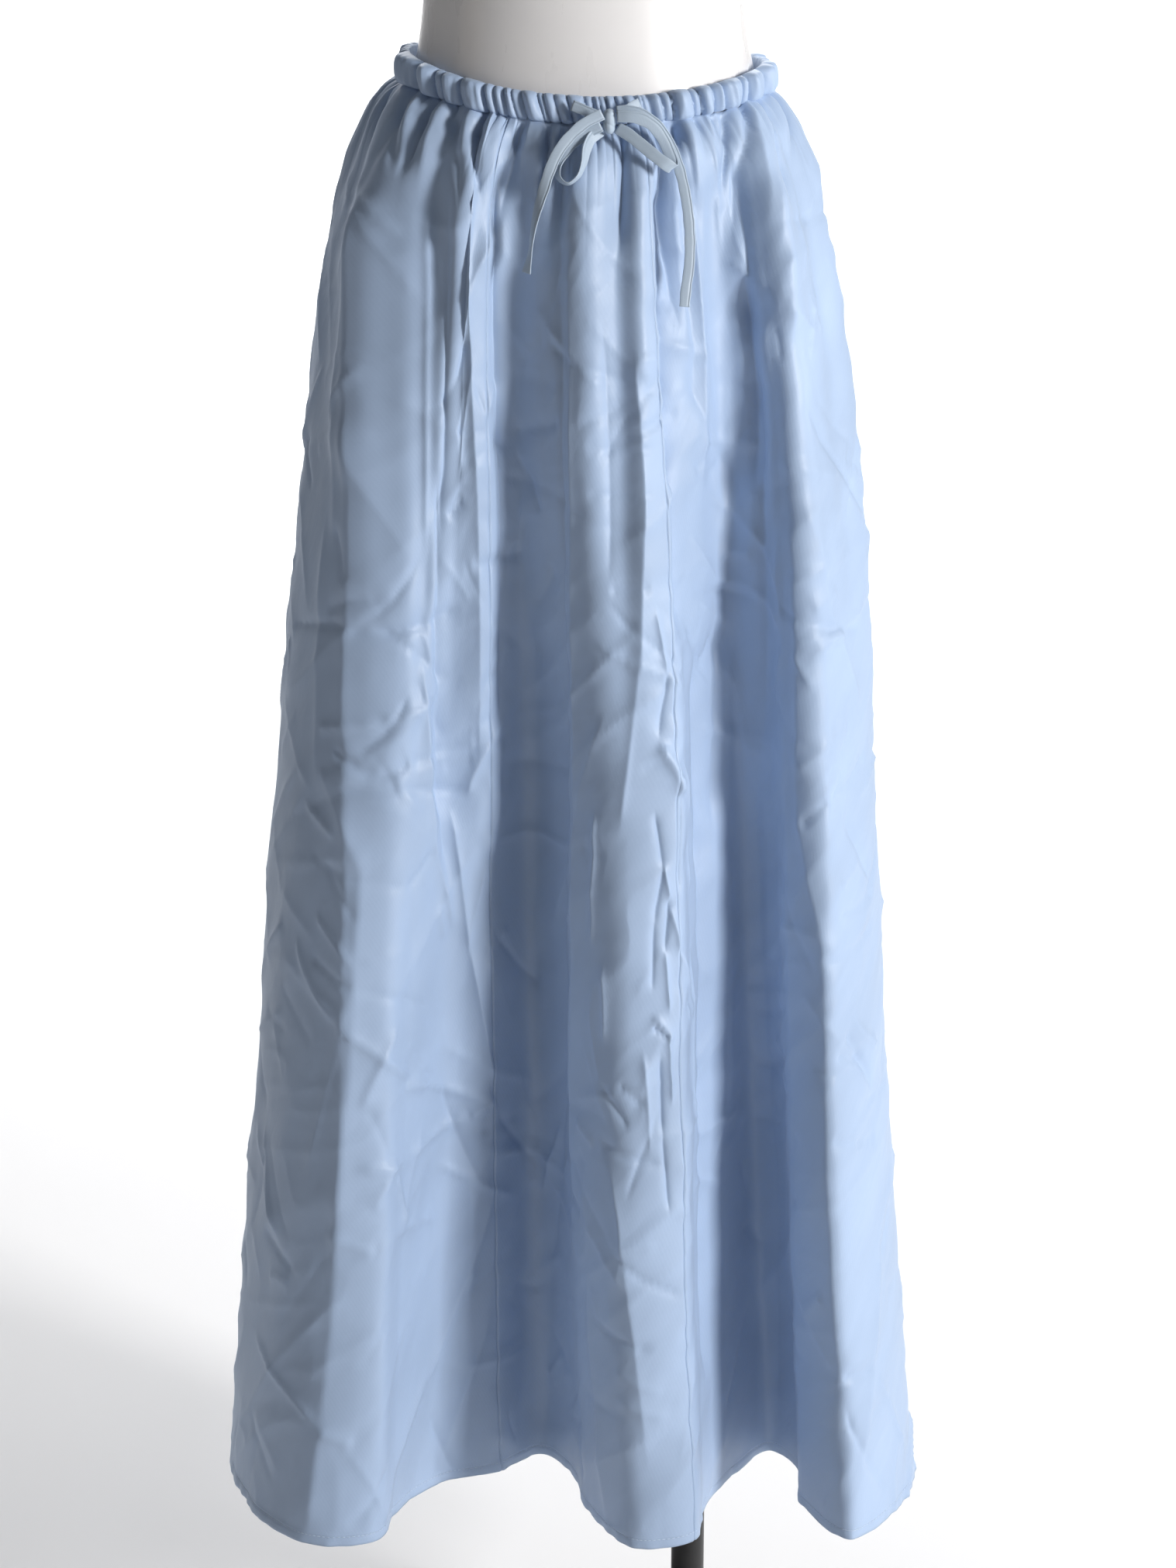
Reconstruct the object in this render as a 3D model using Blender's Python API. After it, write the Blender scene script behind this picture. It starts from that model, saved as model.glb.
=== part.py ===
"""Maxi skirt of light blue satin, worn by a white dress form on a round black stand.

Units are metres and +Z is up. The front of the skirt faces -Y, and the origin is
the centre of the stand's underside.

The skirt is six gores under a gathered casing. A point of the cloth is named by
two numbers: around, from 0 to 1 along the hem from the centre back by the left
side, the front and the right side, and drop, from 0 at the casing to 1 at the hem.
"""

import math

import bmesh
import bpy
import numpy as np

# Stand
BASE_RADIUS = 0.180
BASE_THICK = 0.006
BASE_BEVEL = 0.002
POLE_X = 0.0775
POLE_RADIUS = 0.0127

# Gap between pieces that touch
GAP = 0.0003
CASING_CLEARANCE = 0.0004

# Dress form: height, half width, half depth and the section's centre along Y
FORM_UNDERSIDE = 0.980
FORM_CENTRE_X = -0.003
FORM_SECTIONS = (
    (0.980, 0.1430, 0.0900, 0.010),
    (0.992, 0.1500, 0.0970, 0.010),
    (1.030, 0.1540, 0.1030, 0.012),
    (1.080, 0.1560, 0.1070, 0.013),
    (1.120, 0.1545, 0.1065, 0.012),
    (1.160, 0.1490, 0.1030, 0.010),
    (1.200, 0.1400, 0.0985, 0.008),
    (1.230, 0.1290, 0.0950, 0.006),
    (1.265, 0.1180, 0.0910, 0.004),
    (1.290, 0.1120, 0.0880, 0.002),
    (1.320, 0.1082, 0.0855, 0.000),
    (1.355, 0.1065, 0.0845, -0.001),
    (1.395, 0.1090, 0.0855, -0.001),
    (1.445, 0.1175, 0.0895, 0.000),
    (1.470, 0.1228, 0.0914, 0.001),
    (1.495, 0.1280, 0.0930, 0.002),
    (1.520, 0.1322, 0.0942, 0.002),
    (1.545, 0.1360, 0.0950, 0.003),
    (1.568, 0.1393, 0.0946, 0.004),
    (1.590, 0.1430, 0.0935, 0.006),
    (1.630, 0.1540, 0.0870, 0.010),
    (1.660, 0.1610, 0.0790, 0.012),
    (1.683, 0.1560, 0.0710, 0.013),
    (1.702, 0.1330, 0.0635, 0.013),
    (1.718, 0.1020, 0.0570, 0.012),
    (1.735, 0.0740, 0.0520, 0.011),
    (1.758, 0.0570, 0.0495, 0.009),
    (1.790, 0.0515, 0.0490, 0.006),
    (1.830, 0.0500, 0.0485, 0.002),
)
BUST_HEIGHT = 1.542
BUST_APART = 0.078
BUST_DEPTH = 0.030
BUST_WIDTH = 0.047
BUST_TALL = 0.052
FORM_SEGMENTS = 36

# Casing: the upper edge dips at the front and at the back and is higher at the hips
CASING_TOP = 1.2758
CASING_FRONT_DIP = 0.0053
CASING_LEAN = 0.0042
CASING_HIP_RISE = 0.0071
CASING_HEIGHT = 0.0165
# Distance out from the form, share of the height, and how much of a ruffle shows there
CASING_PROFILE = (
    (0.0000, 0.00, 0.00),
    (0.0068, 0.00, 0.70),
    (0.0112, 0.32, 1.00),
    (0.0110, 0.74, 1.00),
    (0.0060, 1.04, 0.60),
    (0.0010, 0.97, 0.10),
)
RUFFLE_DEPTH = 0.0020

# Cloth
WALL = 0.0015
HEM_HEIGHT = 0.270
GATHER_PITCH = 0.0068
GATHER_DEPTH = 0.0016
GATHER_FADE = 0.055

# Outline of the cloth at each distance below the casing:
# distance, half width, half depth, centre along X, centre along Y
OUTLINE = (
    (0.000, 0.1258, 0.1003, -0.0030, 0.005),
    (0.007, 0.1338, 0.1060, -0.0032, 0.005),
    (0.020, 0.1443, 0.1140, -0.0038, 0.004),
    (0.040, 0.1535, 0.1215, -0.0050, 0.004),
    (0.070, 0.1620, 0.1280, -0.0064, 0.003),
    (0.101, 0.1690, 0.1330, -0.0070, 0.003),
    (0.165, 0.1805, 0.1420, -0.0070, 0.003),
    (0.264, 0.1925, 0.1540, -0.0068, 0.002),
    (0.365, 0.2025, 0.1640, -0.0075, 0.002),
    (0.468, 0.2105, 0.1730, -0.0095, 0.001),
    (0.574, 0.2185, 0.1830, -0.0115, 0.001),
    (0.684, 0.2260, 0.1930, -0.0130, 0.000),
    (0.795, 0.2350, 0.2020, -0.0140, 0.000),
    (0.910, 0.2450, 0.2090, -0.0145, 0.000),
    (1.000, 0.2525, 0.2130, -0.0149, 0.000),
)

# Lengthwise folds, from the centre back round by the left side: where each starts
# on the casing in degrees, 0 at the centre front, where it meets the hem, and growth,
# the power of the drop by which it comes to its place there
FOLDS = (
    # name, casing degrees, hem x, hem y, growth, whether a seam runs down it
    ("back_lobe", -180.0, -0.012, 0.206, 1.10, False),
    ("back_lobe_edge", -171.0, -0.048, 0.190, 1.10, False),
    ("back_valley_left", -161.0, -0.070, 0.122, 1.10, False),
    ("back_seam_left", -151.0, -0.098, 0.172, 1.10, True),
    ("back_left_crest", -142.0, -0.134, 0.192, 1.10, False),
    ("back_left_flank", -133.0, -0.166, 0.152, 1.10, False),
    ("side_left_valley", -125.0, -0.172, 0.088, 1.10, False),
    ("side_left_back", -115.0, -0.224, 0.092, 1.10, False),
    ("side_left_crest", -106.0, -0.254, 0.040, 1.10, False),
    ("side_left_dip", -99.0, -0.236, -0.008, 1.10, False),
    ("side_seam_left", -92.0, -0.264, -0.056, 1.10, True),
    ("left_outer", -81.0, -0.250, -0.145, 0.95, False),
    ("left_round", -73.0, -0.224, -0.190, 0.90, False),
    ("left_crest", -66.0, -0.196, -0.212, 0.90, False),
    ("left_plane", -44.0, -0.148, -0.208, 0.95, False),
    ("left_turn", -31.0, -0.139, -0.172, 0.95, False),
    ("left_flank", -26.5, -0.110, -0.127, 0.88, False),
    ("front_seam_left", -22.8, -0.064, -0.107, 0.92, True),
    ("front_valley", -18.0, -0.034, -0.083, 0.80, False),
    ("front_flank", -11.5, -0.012, -0.112, 0.86, False),
    ("front_plane", -4.5, 0.000, -0.165, 1.00, False),
    ("front_crest", 6.0, 0.038, -0.218, 0.85, False),
    ("front_seam_right", 16.5, 0.0745, -0.207, 0.85, True),
    ("right_turn", 18.8, 0.084, -0.164, 0.78, False),
    ("right_inner", 22.5, 0.108, -0.112, 0.72, False),
    ("right_valley", 27.5, 0.136, -0.077, 0.72, False),
    ("right_flank", 35.0, 0.153, -0.100, 0.76, False),
    ("right_rise", 47.0, 0.156, -0.160, 0.80, False),
    ("right_crest", 60.0, 0.186, -0.206, 0.80, False),
    ("right_outer", 76.0, 0.224, -0.160, 0.85, False),
    ("side_seam_right", 88.0, 0.239, -0.100, 0.95, True),
    ("side_right_dip", 99.0, 0.212, -0.042, 1.00, False),
    ("side_right_crest", 110.0, 0.236, 0.020, 1.00, False),
    ("side_right_back", 122.0, 0.218, 0.084, 1.10, False),
    ("side_right_valley", 131.0, 0.158, 0.082, 1.10, False),
    ("back_right_flank", 139.0, 0.148, 0.146, 1.10, False),
    ("back_right_crest", 147.0, 0.116, 0.186, 1.10, False),
    ("back_seam_right", 156.0, 0.076, 0.178, 1.10, True),
    ("back_valley_right", 166.0, 0.050, 0.118, 1.10, False),
    ("back_lobe_start", 173.0, 0.026, 0.180, 1.10, False),
)

# Pleats that open below the casing: where each starts in degrees, how far it leans
# by its end, its depth and width, and how far down it runs
PLEATS = (
    # degrees, lean, depth, width, length
    (-84.0, -3.0, 0.0030, 0.016, 0.150),
    (-73.0, -2.5, 0.0036, 0.014, 0.110),
    (-58.0, -9.0, 0.0052, 0.011, 0.075),
    (-51.0, -2.0, 0.0030, 0.012, 0.050),
    (-37.0, -4.0, 0.0050, 0.012, 0.065),
    (-20.5, 0.0, 0.0062, 0.013, 0.090),
    (-15.0, -2.0, 0.0050, 0.017, 0.210),
    (-6.0, -0.5, 0.0040, 0.012, 0.120),
    (38.0, 1.0, 0.0030, 0.010, 0.050),
    (45.5, -1.0, 0.0044, 0.013, 0.100),
    (67.0, 3.0, 0.0034, 0.013, 0.090),
    (79.0, 4.0, 0.0036, 0.014, 0.130),
    (95.0, 1.0, 0.0034, 0.016, 0.110),
    (108.0, 3.0, 0.0048, 0.015, 0.150),
    (120.0, -2.0, 0.0040, 0.014, 0.090),
    (131.0, 2.0, 0.0056, 0.015, 0.170),
    (144.0, 3.0, 0.0040, 0.014, 0.100),
    (155.0, -2.0, 0.0052, 0.014, 0.130),
    (167.0, 2.0, 0.0050, 0.016, 0.200),
    (-176.0, -2.0, 0.0040, 0.014, 0.090),
    (-163.0, 2.0, 0.0054, 0.015, 0.160),
    (-150.0, -3.0, 0.0044, 0.013, 0.100),
    (-138.0, 2.0, 0.0050, 0.015, 0.140),
    (-124.0, -2.0, 0.0054, 0.016, 0.180),
    (-110.0, 3.0, 0.0040, 0.014, 0.100),
    (-97.0, -2.0, 0.0036, 0.015, 0.130),
)

# Long folds of the gathered part: where each starts on the casing in degrees and how
# far it wanders by its end, its height (a trough below zero), its width and length
SWELLS = (
    # degrees, lean, height, width, length
    (-61.0, 11.0, 0.0040, 0.020, 0.460),
    (-41.5, 14.0, -0.0070, 0.014, 0.520),
    (-30.5, 6.0, 0.0070, 0.013, 0.520),
    (0.6, -0.8, 0.0060, 0.011, 0.420),
    (10.4, -4.4, -0.0055, 0.010, 0.430),
    (15.0, -6.0, 0.0060, 0.010, 0.430),
    (19.8, -2.4, -0.0055, 0.010, 0.360),
    (24.4, -2.8, 0.0055, 0.011, 0.380),
    (39.0, -17.5, -0.0080, 0.017, 0.500),
    (51.5, 3.5, 0.0110, 0.018, 0.560),
    (72.0, 3.0, -0.0050, 0.018, 0.420),
    (86.0, 2.0, 0.0050, 0.020, 0.480),
    (104.0, -3.0, -0.0060, 0.016, 0.420),
    (118.0, 2.0, 0.0060, 0.015, 0.500),
    (134.0, -4.0, -0.0060, 0.013, 0.380),
    (146.0, 3.0, 0.0065, 0.014, 0.460),
    (161.0, -3.0, -0.0060, 0.014, 0.500),
    (172.0, 2.0, 0.0060, 0.013, 0.400),
    (-171.0, 3.0, -0.0055, 0.012, 0.450),
    (-158.0, -2.0, 0.0065, 0.015, 0.520),
    (-143.0, -3.0, -0.0060, 0.013, 0.380),
    (-128.0, 4.0, 0.0060, 0.015, 0.440),
    (-113.0, 2.0, -0.0055, 0.016, 0.500),
    (-97.0, -2.0, 0.0050, 0.017, 0.420),
    (-79.0, 3.0, -0.0040, 0.018, 0.400),
)

# Rows of the solid gores: the gathered rows below the casing, then the open ones
GATHERED_DROPS = (0.0, 0.012, 0.030, 0.052)
OPEN_DROPS = (0.085, 0.14, 0.21, 0.30, 0.41, 0.54, 0.68, 0.84, 1.0)
OPEN_PITCH = 0.0145

# Drawstring: flat bands from the knot, each with its width and the rows of its path.
# Distances are to the right of the centre, forward, and down from the casing's top.
# Lean turns the band's width from +X towards +Z; tilt turns it towards the viewer.
BAND_THICK = 0.001
BANDS = {
    "drawstring_exit_left": (0.0070, (
        # across, out, down, lean, tilt
        (-0.0103, 0.1017, 0.0174, 70, 0),
        (-0.0013, 0.1039, 0.0208, 68, 0),
        (0.0085, 0.1052, 0.0252, 66, 0),
    )),
    "drawstring_exit_right": (0.0070, (
        (0.0336, 0.0984, 0.0164, -67, 0),
        (0.0274, 0.1022, 0.0193, -61, 0),
        (0.0199, 0.1057, 0.0246, -57, 0),
    )),
    "drawstring_tail_left": (0.0074, (
        (0.0094, 0.1110, 0.0222, -59, 0),
        (-0.0018, 0.1122, 0.0279, -54, 0),
        (-0.0118, 0.1138, 0.0364, -44, 0),
        (-0.0198, 0.1169, 0.0467, -31, 5),
        (-0.0249, 0.1196, 0.0578, -21, 10),
        (-0.0289, 0.1208, 0.0702, -17, 25),
        (-0.0333, 0.1215, 0.0846, -14, 50),
        (-0.0361, 0.1222, 0.0980, -10, 68),
        (-0.0377, 0.1226, 0.1100, -9, 72),
        (-0.0403, 0.1221, 0.1233, -11, 40),
    )),
    "drawstring_loop_left": (0.0074, (
        (0.0086, 0.1086, 0.0301, -65, 0),
        (0.0008, 0.1078, 0.0339, -62, 0),
        (-0.0078, 0.1092, 0.0391, -52, 5),
        (-0.0154, 0.1122, 0.0467, -38, 20),
        (-0.0199, 0.1158, 0.0548, -11, 45),
        (-0.0184, 0.1202, 0.0623, 34, 66),
        (-0.0128, 0.1237, 0.0653, 95, 72),
        (-0.0068, 0.1239, 0.0613, 141, 70),
        (-0.0028, 0.1205, 0.0527, 161, 60),
        (-0.0008, 0.1145, 0.0440, 160, 40),
        (0.0028, 0.1085, 0.0373, 137, 15),
        (0.0086, 0.1050, 0.0337, 121, 0),
    )),
    "drawstring_loop_right": (0.0080, (
        (0.0188, 0.1104, 0.0235, 91, 0),
        (0.0259, 0.1120, 0.0235, 85, 0),
        (0.0339, 0.1122, 0.0249, 70, 0),
        (0.0420, 0.1114, 0.0294, 48, 0),
        (0.0487, 0.1096, 0.0381, 34, 0),
        (0.0527, 0.1096, 0.0467, 28, 0),
        (0.0552, 0.1119, 0.0542, 32, 0),
        (0.0551, 0.1150, 0.0564, 38, 0),
        (0.0515, 0.1171, 0.0542, 41, 0),
        (0.0440, 0.1167, 0.0487, 50, 0),
        (0.0350, 0.1142, 0.0417, 52, 0),
        (0.0264, 0.1112, 0.0353, 56, 0),
        (0.0190, 0.1082, 0.0312, 60, 0),
    )),
    "drawstring_tail_right": (0.0070, (
        (0.0185, 0.1073, 0.0208, 93, 0),
        (0.0279, 0.1080, 0.0203, 82, 0),
        (0.0365, 0.1074, 0.0233, 62, 0),
        (0.0445, 0.1064, 0.0293, 45, 0),
        (0.0513, 0.1052, 0.0384, 31, 0),
        (0.0573, 0.1062, 0.0509, 21, 0),
        (0.0619, 0.1082, 0.0661, 13, 0),
        (0.0651, 0.1107, 0.0833, 8, 0),
        (0.0667, 0.1136, 0.1006, 2, 0),
        (0.0662, 0.1172, 0.1203, -4, 0),
        (0.0642, 0.1210, 0.1344, -7, 0),
        (0.0632, 0.1238, 0.1452, -5, 0),
    )),
}
BAND_STEP = 0.0050
KNOT = (0.0138, 0.1066, 0.0273)
KNOT_HALF = (0.0042, 0.0049, 0.0082)
# Height on the knot from -1 to 1, and the share of its full size there
KNOT_PROFILE = (
    (-1.00, 0.50),
    (-0.85, 0.80),
    (-0.45, 0.97),
    (0.00, 1.00),
    (0.45, 0.97),
    (0.85, 0.80),
    (1.00, 0.50),
)
KNOT_SEGMENTS = 12

# Finishes: colour, roughness and metallic value
FINISHES = {
    "satin": ((0.36, 0.47, 0.66), 0.42, 0.0),
    "tie": ((0.40, 0.49, 0.62), 0.45, 0.0),
    "form": ((0.83, 0.82, 0.83), 0.25, 0.0),
    "stand": ((0.012, 0.012, 0.013), 0.35, 0.0),
}


def smooth(x, knots, values):
    """A cubic curve through a table's points, with slopes taken from their neighbours."""
    knots = np.asarray(knots, float)
    values = np.asarray(values, float)
    slopes = np.gradient(values, knots)
    x = np.clip(x, knots[0], knots[-1])
    i = np.clip(np.searchsorted(knots, x, side="right") - 1, 0, len(knots) - 2)
    span = knots[i + 1] - knots[i]
    f = (x - knots[i]) / span
    start = (1 + 2 * f) * (1 - f) ** 2 * values[i] + f * (1 - f) ** 2 * span * slopes[i]
    end = f * f * (3 - 2 * f) * values[i + 1] + f * f * (f - 1) * span * slopes[i + 1]
    return start + end


def around_and_back(values, turn):
    """A closed table with three rows repeated at each end, moved by one turn."""
    values = np.asarray(values, float)
    return np.concatenate([values[-3:] - turn, values, values[:3] + turn])


def fold_table():
    """The folds as closed columns: around, casing degrees, hem x, hem y and growth."""
    degrees, x, y, growth = (np.array([row[k] for row in FOLDS]) for k in (1, 2, 3, 4))
    step = np.hypot(np.roll(x, -1) - x, np.roll(y, -1) - y)
    place = np.concatenate([[0.0], np.cumsum(step)[:-1]]) / step.sum()
    return (
        around_and_back(place, 1.0),
        around_and_back(degrees, 360.0),
        around_and_back(x, 0.0),
        around_and_back(y, 0.0),
        around_and_back(growth, 0.0),
    )


FOLD_AROUND, FOLD_DEGREES, FOLD_X, FOLD_Y, FOLD_GROWTH = fold_table()
SEAMS = [FOLD_AROUND[i + 3] for i, row in enumerate(FOLDS) if row[5]]


def casing_degrees(around):
    """Where the lengthwise thread at this place starts on the casing."""
    return smooth(np.mod(around, 1.0), FOLD_AROUND, FOLD_DEGREES) + 360 * np.floor(around)


def around_at(degrees):
    """The thread that starts at this place on the casing."""
    dense = np.linspace(-0.1, 1.1, 4801)
    return np.interp(degrees, casing_degrees(dense), dense)


def casing_top(degrees):
    """Height of the casing's upper edge."""
    turn = np.radians(degrees)
    dip = CASING_FRONT_DIP * np.cos(turn) + CASING_LEAN * np.sin(turn)
    return CASING_TOP - dip - CASING_HIP_RISE * np.cos(2 * turn)


def seam_height(degrees):
    """Height of the line where the cloth leaves the casing."""
    return casing_top(degrees) - CASING_HEIGHT - GAP


def outline(degrees, below):
    """The unfolded cloth: an ellipse whose size follows the distance below the casing."""
    knots = [row[0] for row in OUTLINE]
    wide, deep, x, y = (
        smooth(below, knots, [row[k] for row in OUTLINE]) for k in (1, 2, 3, 4)
    )
    turn = np.radians(degrees)
    return x + wide * np.sin(turn), y - deep * np.cos(turn)


def pleat_depth(degrees, below, wide, deep):
    """How far the pleats sink the cloth: each is a soft trough that widens as it runs out."""
    sunk = np.zeros(np.broadcast(degrees, below).shape)
    radius = np.sqrt(wide * deep)
    for start, lean, depth, width, length in PLEATS:
        run = np.clip(below / length, 0, 1)
        off = np.mod(degrees - start - lean * run + 180.0, 360.0) - 180.0
        reach = width * (0.32 + 0.5 * run)
        fade = np.minimum(1.0, 0.25 + 6 * run) * (1 - run) ** 1.2
        sunk = sunk + depth * fade * np.exp(-((np.radians(off) * radius / reach) ** 2))
    return sunk


def swell_height(degrees, below, wide, deep):
    """How far the long folds lift the cloth: each rises in the first eighth of its length
    and runs out towards its end."""
    lifted = np.zeros(np.broadcast(degrees, below).shape)
    radius = np.sqrt(wide * deep)
    for start, lean, height, width, length in SWELLS:
        run = np.clip(below / length, 0, 1)
        off = np.mod(degrees - start - lean * run**0.6 + 180.0, 360.0) - 180.0
        fade = np.minimum(1.0, 8 * run) * (1 - run**2)
        lifted = lifted + height * fade * np.exp(-((np.radians(off) * radius / width) ** 2))
    return lifted


def cloth(around, drop):
    """Outer face of the open cloth, without its gathers: the outline, carried towards
    each fold's place on the hem by a share that grows with the drop."""
    degrees = casing_degrees(around)
    top = seam_height(degrees)
    below = (top - HEM_HEIGHT) * drop
    x, y = outline(degrees, below)
    last_x, last_y = outline(degrees, top - HEM_HEIGHT)
    place = np.mod(around, 1.0)
    share = drop ** smooth(place, FOLD_AROUND, FOLD_GROWTH)
    x = x + (smooth(place, FOLD_AROUND, FOLD_X) - last_x) * share
    y = y + (smooth(place, FOLD_AROUND, FOLD_Y) - last_y) * share
    return np.stack([x, y, top - below + 0 * x], axis=-1)


def outward(around, drop):
    """Level direction that points out of the cloth: square to the hemwise direction."""
    step = 1e-4
    along = cloth(around + step, drop) - cloth(around - step, drop)
    out = np.stack([along[..., 1], -along[..., 0], 0 * along[..., 0]], axis=-1)
    return out / np.linalg.norm(out, axis=-1, keepdims=True)


def pleated(around, drop, wave=0.0):
    """Outer face of the cloth with its pleats and long folds, moved out by a gather's wave."""
    degrees = casing_degrees(around)
    below = (seam_height(degrees) - HEM_HEIGHT) * drop
    knots = [row[0] for row in OUTLINE]
    wide, deep = (smooth(below, knots, [row[k] for row in OUTLINE]) for k in (1, 2))
    lifted = swell_height(degrees, below, wide, deep) - pleat_depth(degrees, below, wide, deep)
    return cloth(around, drop) + outward(around, drop) * (wave + lifted)[..., None]


def gather_wave(count, first, below):
    """Ridge and valley by turns, uneven in depth, fading with the distance below the casing."""
    k = np.arange(count)
    size = GATHER_DEPTH * (0.78 + 0.22 * np.sin(2.4 * (k + first)))
    fade = np.exp(-below / GATHER_FADE)
    return np.where(k % 2 == 0, -1.0, 1.0) * size * fade


def new_object(name, points, faces, finish, flat=False):
    """A mesh object with shading that keeps its sharp edges."""
    mesh = bpy.data.meshes.new(name)
    mesh.from_pydata([tuple(map(float, p)) for p in points], [], faces)
    mesh.update()
    made = bpy.data.objects.new(name, mesh)
    bpy.context.scene.collection.objects.link(made)
    mesh.materials.append(material(finish))
    if not flat:
        mesh.shade_smooth()
        mesh.set_sharp_from_angle(angle=math.radians(40))
    return made


def material(finish):
    """The Principled material of a finish, made once."""
    found = bpy.data.materials.get(finish)
    if found:
        return found
    colour, roughness, metallic = FINISHES[finish]
    made = bpy.data.materials.new(finish)
    made.use_nodes = True
    shader = made.node_tree.nodes["Principled BSDF"]
    shader.inputs["Base Color"].default_value = (*colour, 1.0)
    shader.inputs["Roughness"].default_value = roughness
    shader.inputs["Metallic"].default_value = metallic
    made.diffuse_color = (*colour, 1.0)
    return made


def zip_rows(first, first_places, second, second_places):
    """Triangles between two rows of points with different spacing."""
    faces = []
    i = j = 0
    while i < len(first) - 1 or j < len(second) - 1:
        ahead = first_places[i + 1] if i < len(first) - 1 else np.inf
        behind = second_places[j + 1] if j < len(second) - 1 else np.inf
        if ahead <= behind:
            faces.append((first[i], second[j], first[i + 1]))
            i += 1
        else:
            faces.append((first[i], second[j], second[j + 1]))
            j += 1
    return faces


def gore_rows(start, end):
    """Rows of outer points of a gore and the places along them, casing first."""
    first, last = casing_degrees(np.array([start, end]))
    arc = math.radians(last - first) * math.sqrt(OUTLINE[0][1] * OUTLINE[0][2])
    gathered = around_at(np.linspace(first, last, 2 * round(arc / GATHER_PITCH) + 1))
    open_count = round((end - start) * hem_length() / OPEN_PITCH)
    rows = []
    for drop in GATHERED_DROPS + OPEN_DROPS:
        places = gathered if drop in GATHERED_DROPS else np.linspace(start, end, open_count + 1)
        reach = hem_length() * (0.42 + 0.58 * drop)
        places = np.clip(places, start + GAP / 2 / reach, end - GAP / 2 / reach)
        below = drop * (seam_height(casing_degrees(places)) - HEM_HEIGHT)
        wave = np.zeros(len(places))
        if drop in GATHERED_DROPS:
            wave = gather_wave(len(places), first, below)
        rows.append((drop, places, wave))
    return rows


def hem_length():
    """Length of the hem round all the folds."""
    dense = np.linspace(0, 1, 2001)
    x, y = (smooth(dense, FOLD_AROUND, column) for column in (FOLD_X, FOLD_Y))
    return float(np.hypot(np.diff(x), np.diff(y)).sum())


def make_gore(name, start, end):
    """One gore: an outer and an inner face a wall apart, zipped row by row, with closed rims."""
    points, outer, inner, along = [], [], [], []
    for drop, places, wave in gore_rows(start, end):
        face = pleated(places, np.full(len(places), drop), wave)
        back = face - WALL * outward(places, np.full(len(places), drop))
        outer.append(list(range(len(points), len(points) + len(face))))
        points.extend(face)
        inner.append(list(range(len(points), len(points) + len(back))))
        points.extend(back)
        along.append(places)
    faces = []
    for k in range(len(outer) - 1):
        faces += zip_rows(outer[k], along[k], outer[k + 1], along[k + 1])
        faces += [f[::-1] for f in zip_rows(inner[k], along[k], inner[k + 1], along[k + 1])]
    for k, turned in ((0, True), (-1, False)):
        for i in range(len(outer[k]) - 1):
            rim = (outer[k][i], inner[k][i], inner[k][i + 1], outer[k][i + 1])
            faces.append(rim[::-1] if turned else rim)
    for side, turned in ((0, False), (-1, True)):
        for k in range(len(outer) - 1):
            rim = (outer[k][side], inner[k][side], inner[k + 1][side], outer[k + 1][side])
            faces.append(rim[::-1] if turned else rim)
    return new_object(name, points, faces, "satin")


def form_point(degrees, height):
    """Surface of the dress form: an ellipse at each height, with a smooth bust in front."""
    knots = [row[0] for row in FORM_SECTIONS]
    wide, deep, y = (
        smooth(height, knots, [row[k] for row in FORM_SECTIONS]) for k in (1, 2, 3)
    )
    turn = np.radians(degrees)
    px, py = FORM_CENTRE_X + wide * np.sin(turn), y - deep * np.cos(turn)
    front = np.clip(np.cos(turn), 0, 1) ** 0.5
    tall = np.exp(-(((height - BUST_HEIGHT) / BUST_TALL) ** 2))
    for side in (-1, 1):
        across = np.exp(-(((px - FORM_CENTRE_X - side * BUST_APART) / BUST_WIDTH) ** 2))
        py = py - BUST_DEPTH * front * tall * across
    return np.stack([px, py, height + 0 * px], axis=-1)


def ring_faces(rings, count, closed=True):
    """Quads between rings of points, then the two end caps if it isn't closed on itself."""
    faces = []
    loops = len(rings) if closed else len(rings) - 1
    for k in range(loops):
        a, b = rings[k], rings[(k + 1) % len(rings)]
        for i in range(count):
            j = (i + 1) % count
            faces.append((a[i], a[j], b[j], b[i]))
    if not closed:
        faces.append(tuple(reversed(rings[0])))
        faces.append(tuple(rings[-1]))
    return faces


def make_form():
    """The dress form: rings up the sections, closed flat below and at the neck."""
    degrees = np.linspace(-180, 180, FORM_SEGMENTS, endpoint=False)
    points, rings = [], []
    for row in FORM_SECTIONS:
        rings.append(list(range(len(points), len(points) + FORM_SEGMENTS)))
        points.extend(form_point(degrees, row[0]))
    return new_object("dress_form", points, ring_faces(rings, FORM_SEGMENTS, closed=False), "form")


def make_casing():
    """The gathered casing: a closed ring that follows the form, ruffled on its outer side."""
    around_ring = math.pi * (OUTLINE[0][1] + OUTLINE[0][2])
    count = 2 * round(around_ring / GATHER_PITCH)
    degrees = np.linspace(-180, 180, count, endpoint=False)
    seam = casing_top(degrees) - CASING_HEIGHT
    foot = form_point(degrees, seam)
    out = np.stack([np.sin(np.radians(degrees)), -np.cos(np.radians(degrees))], axis=-1)
    out = out / np.array([OUTLINE[0][1], OUTLINE[0][2]])
    out = out / np.linalg.norm(out, axis=-1, keepdims=True)
    wave = gather_wave(count, 0, 0.0) / GATHER_DEPTH * RUFFLE_DEPTH
    points, rings = [], []
    for distance, share, ruffle in CASING_PROFILE:
        rings.append(list(range(len(points), len(points) + count)))
        reach = CASING_CLEARANCE + distance + ruffle * wave
        x, y = (foot[:, :2] + out * reach[:, None]).T
        points.extend(np.stack([x, y, seam + share * CASING_HEIGHT], axis=-1))
    return new_object("waist_casing", points, ring_faces(rings, count), "satin")


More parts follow.
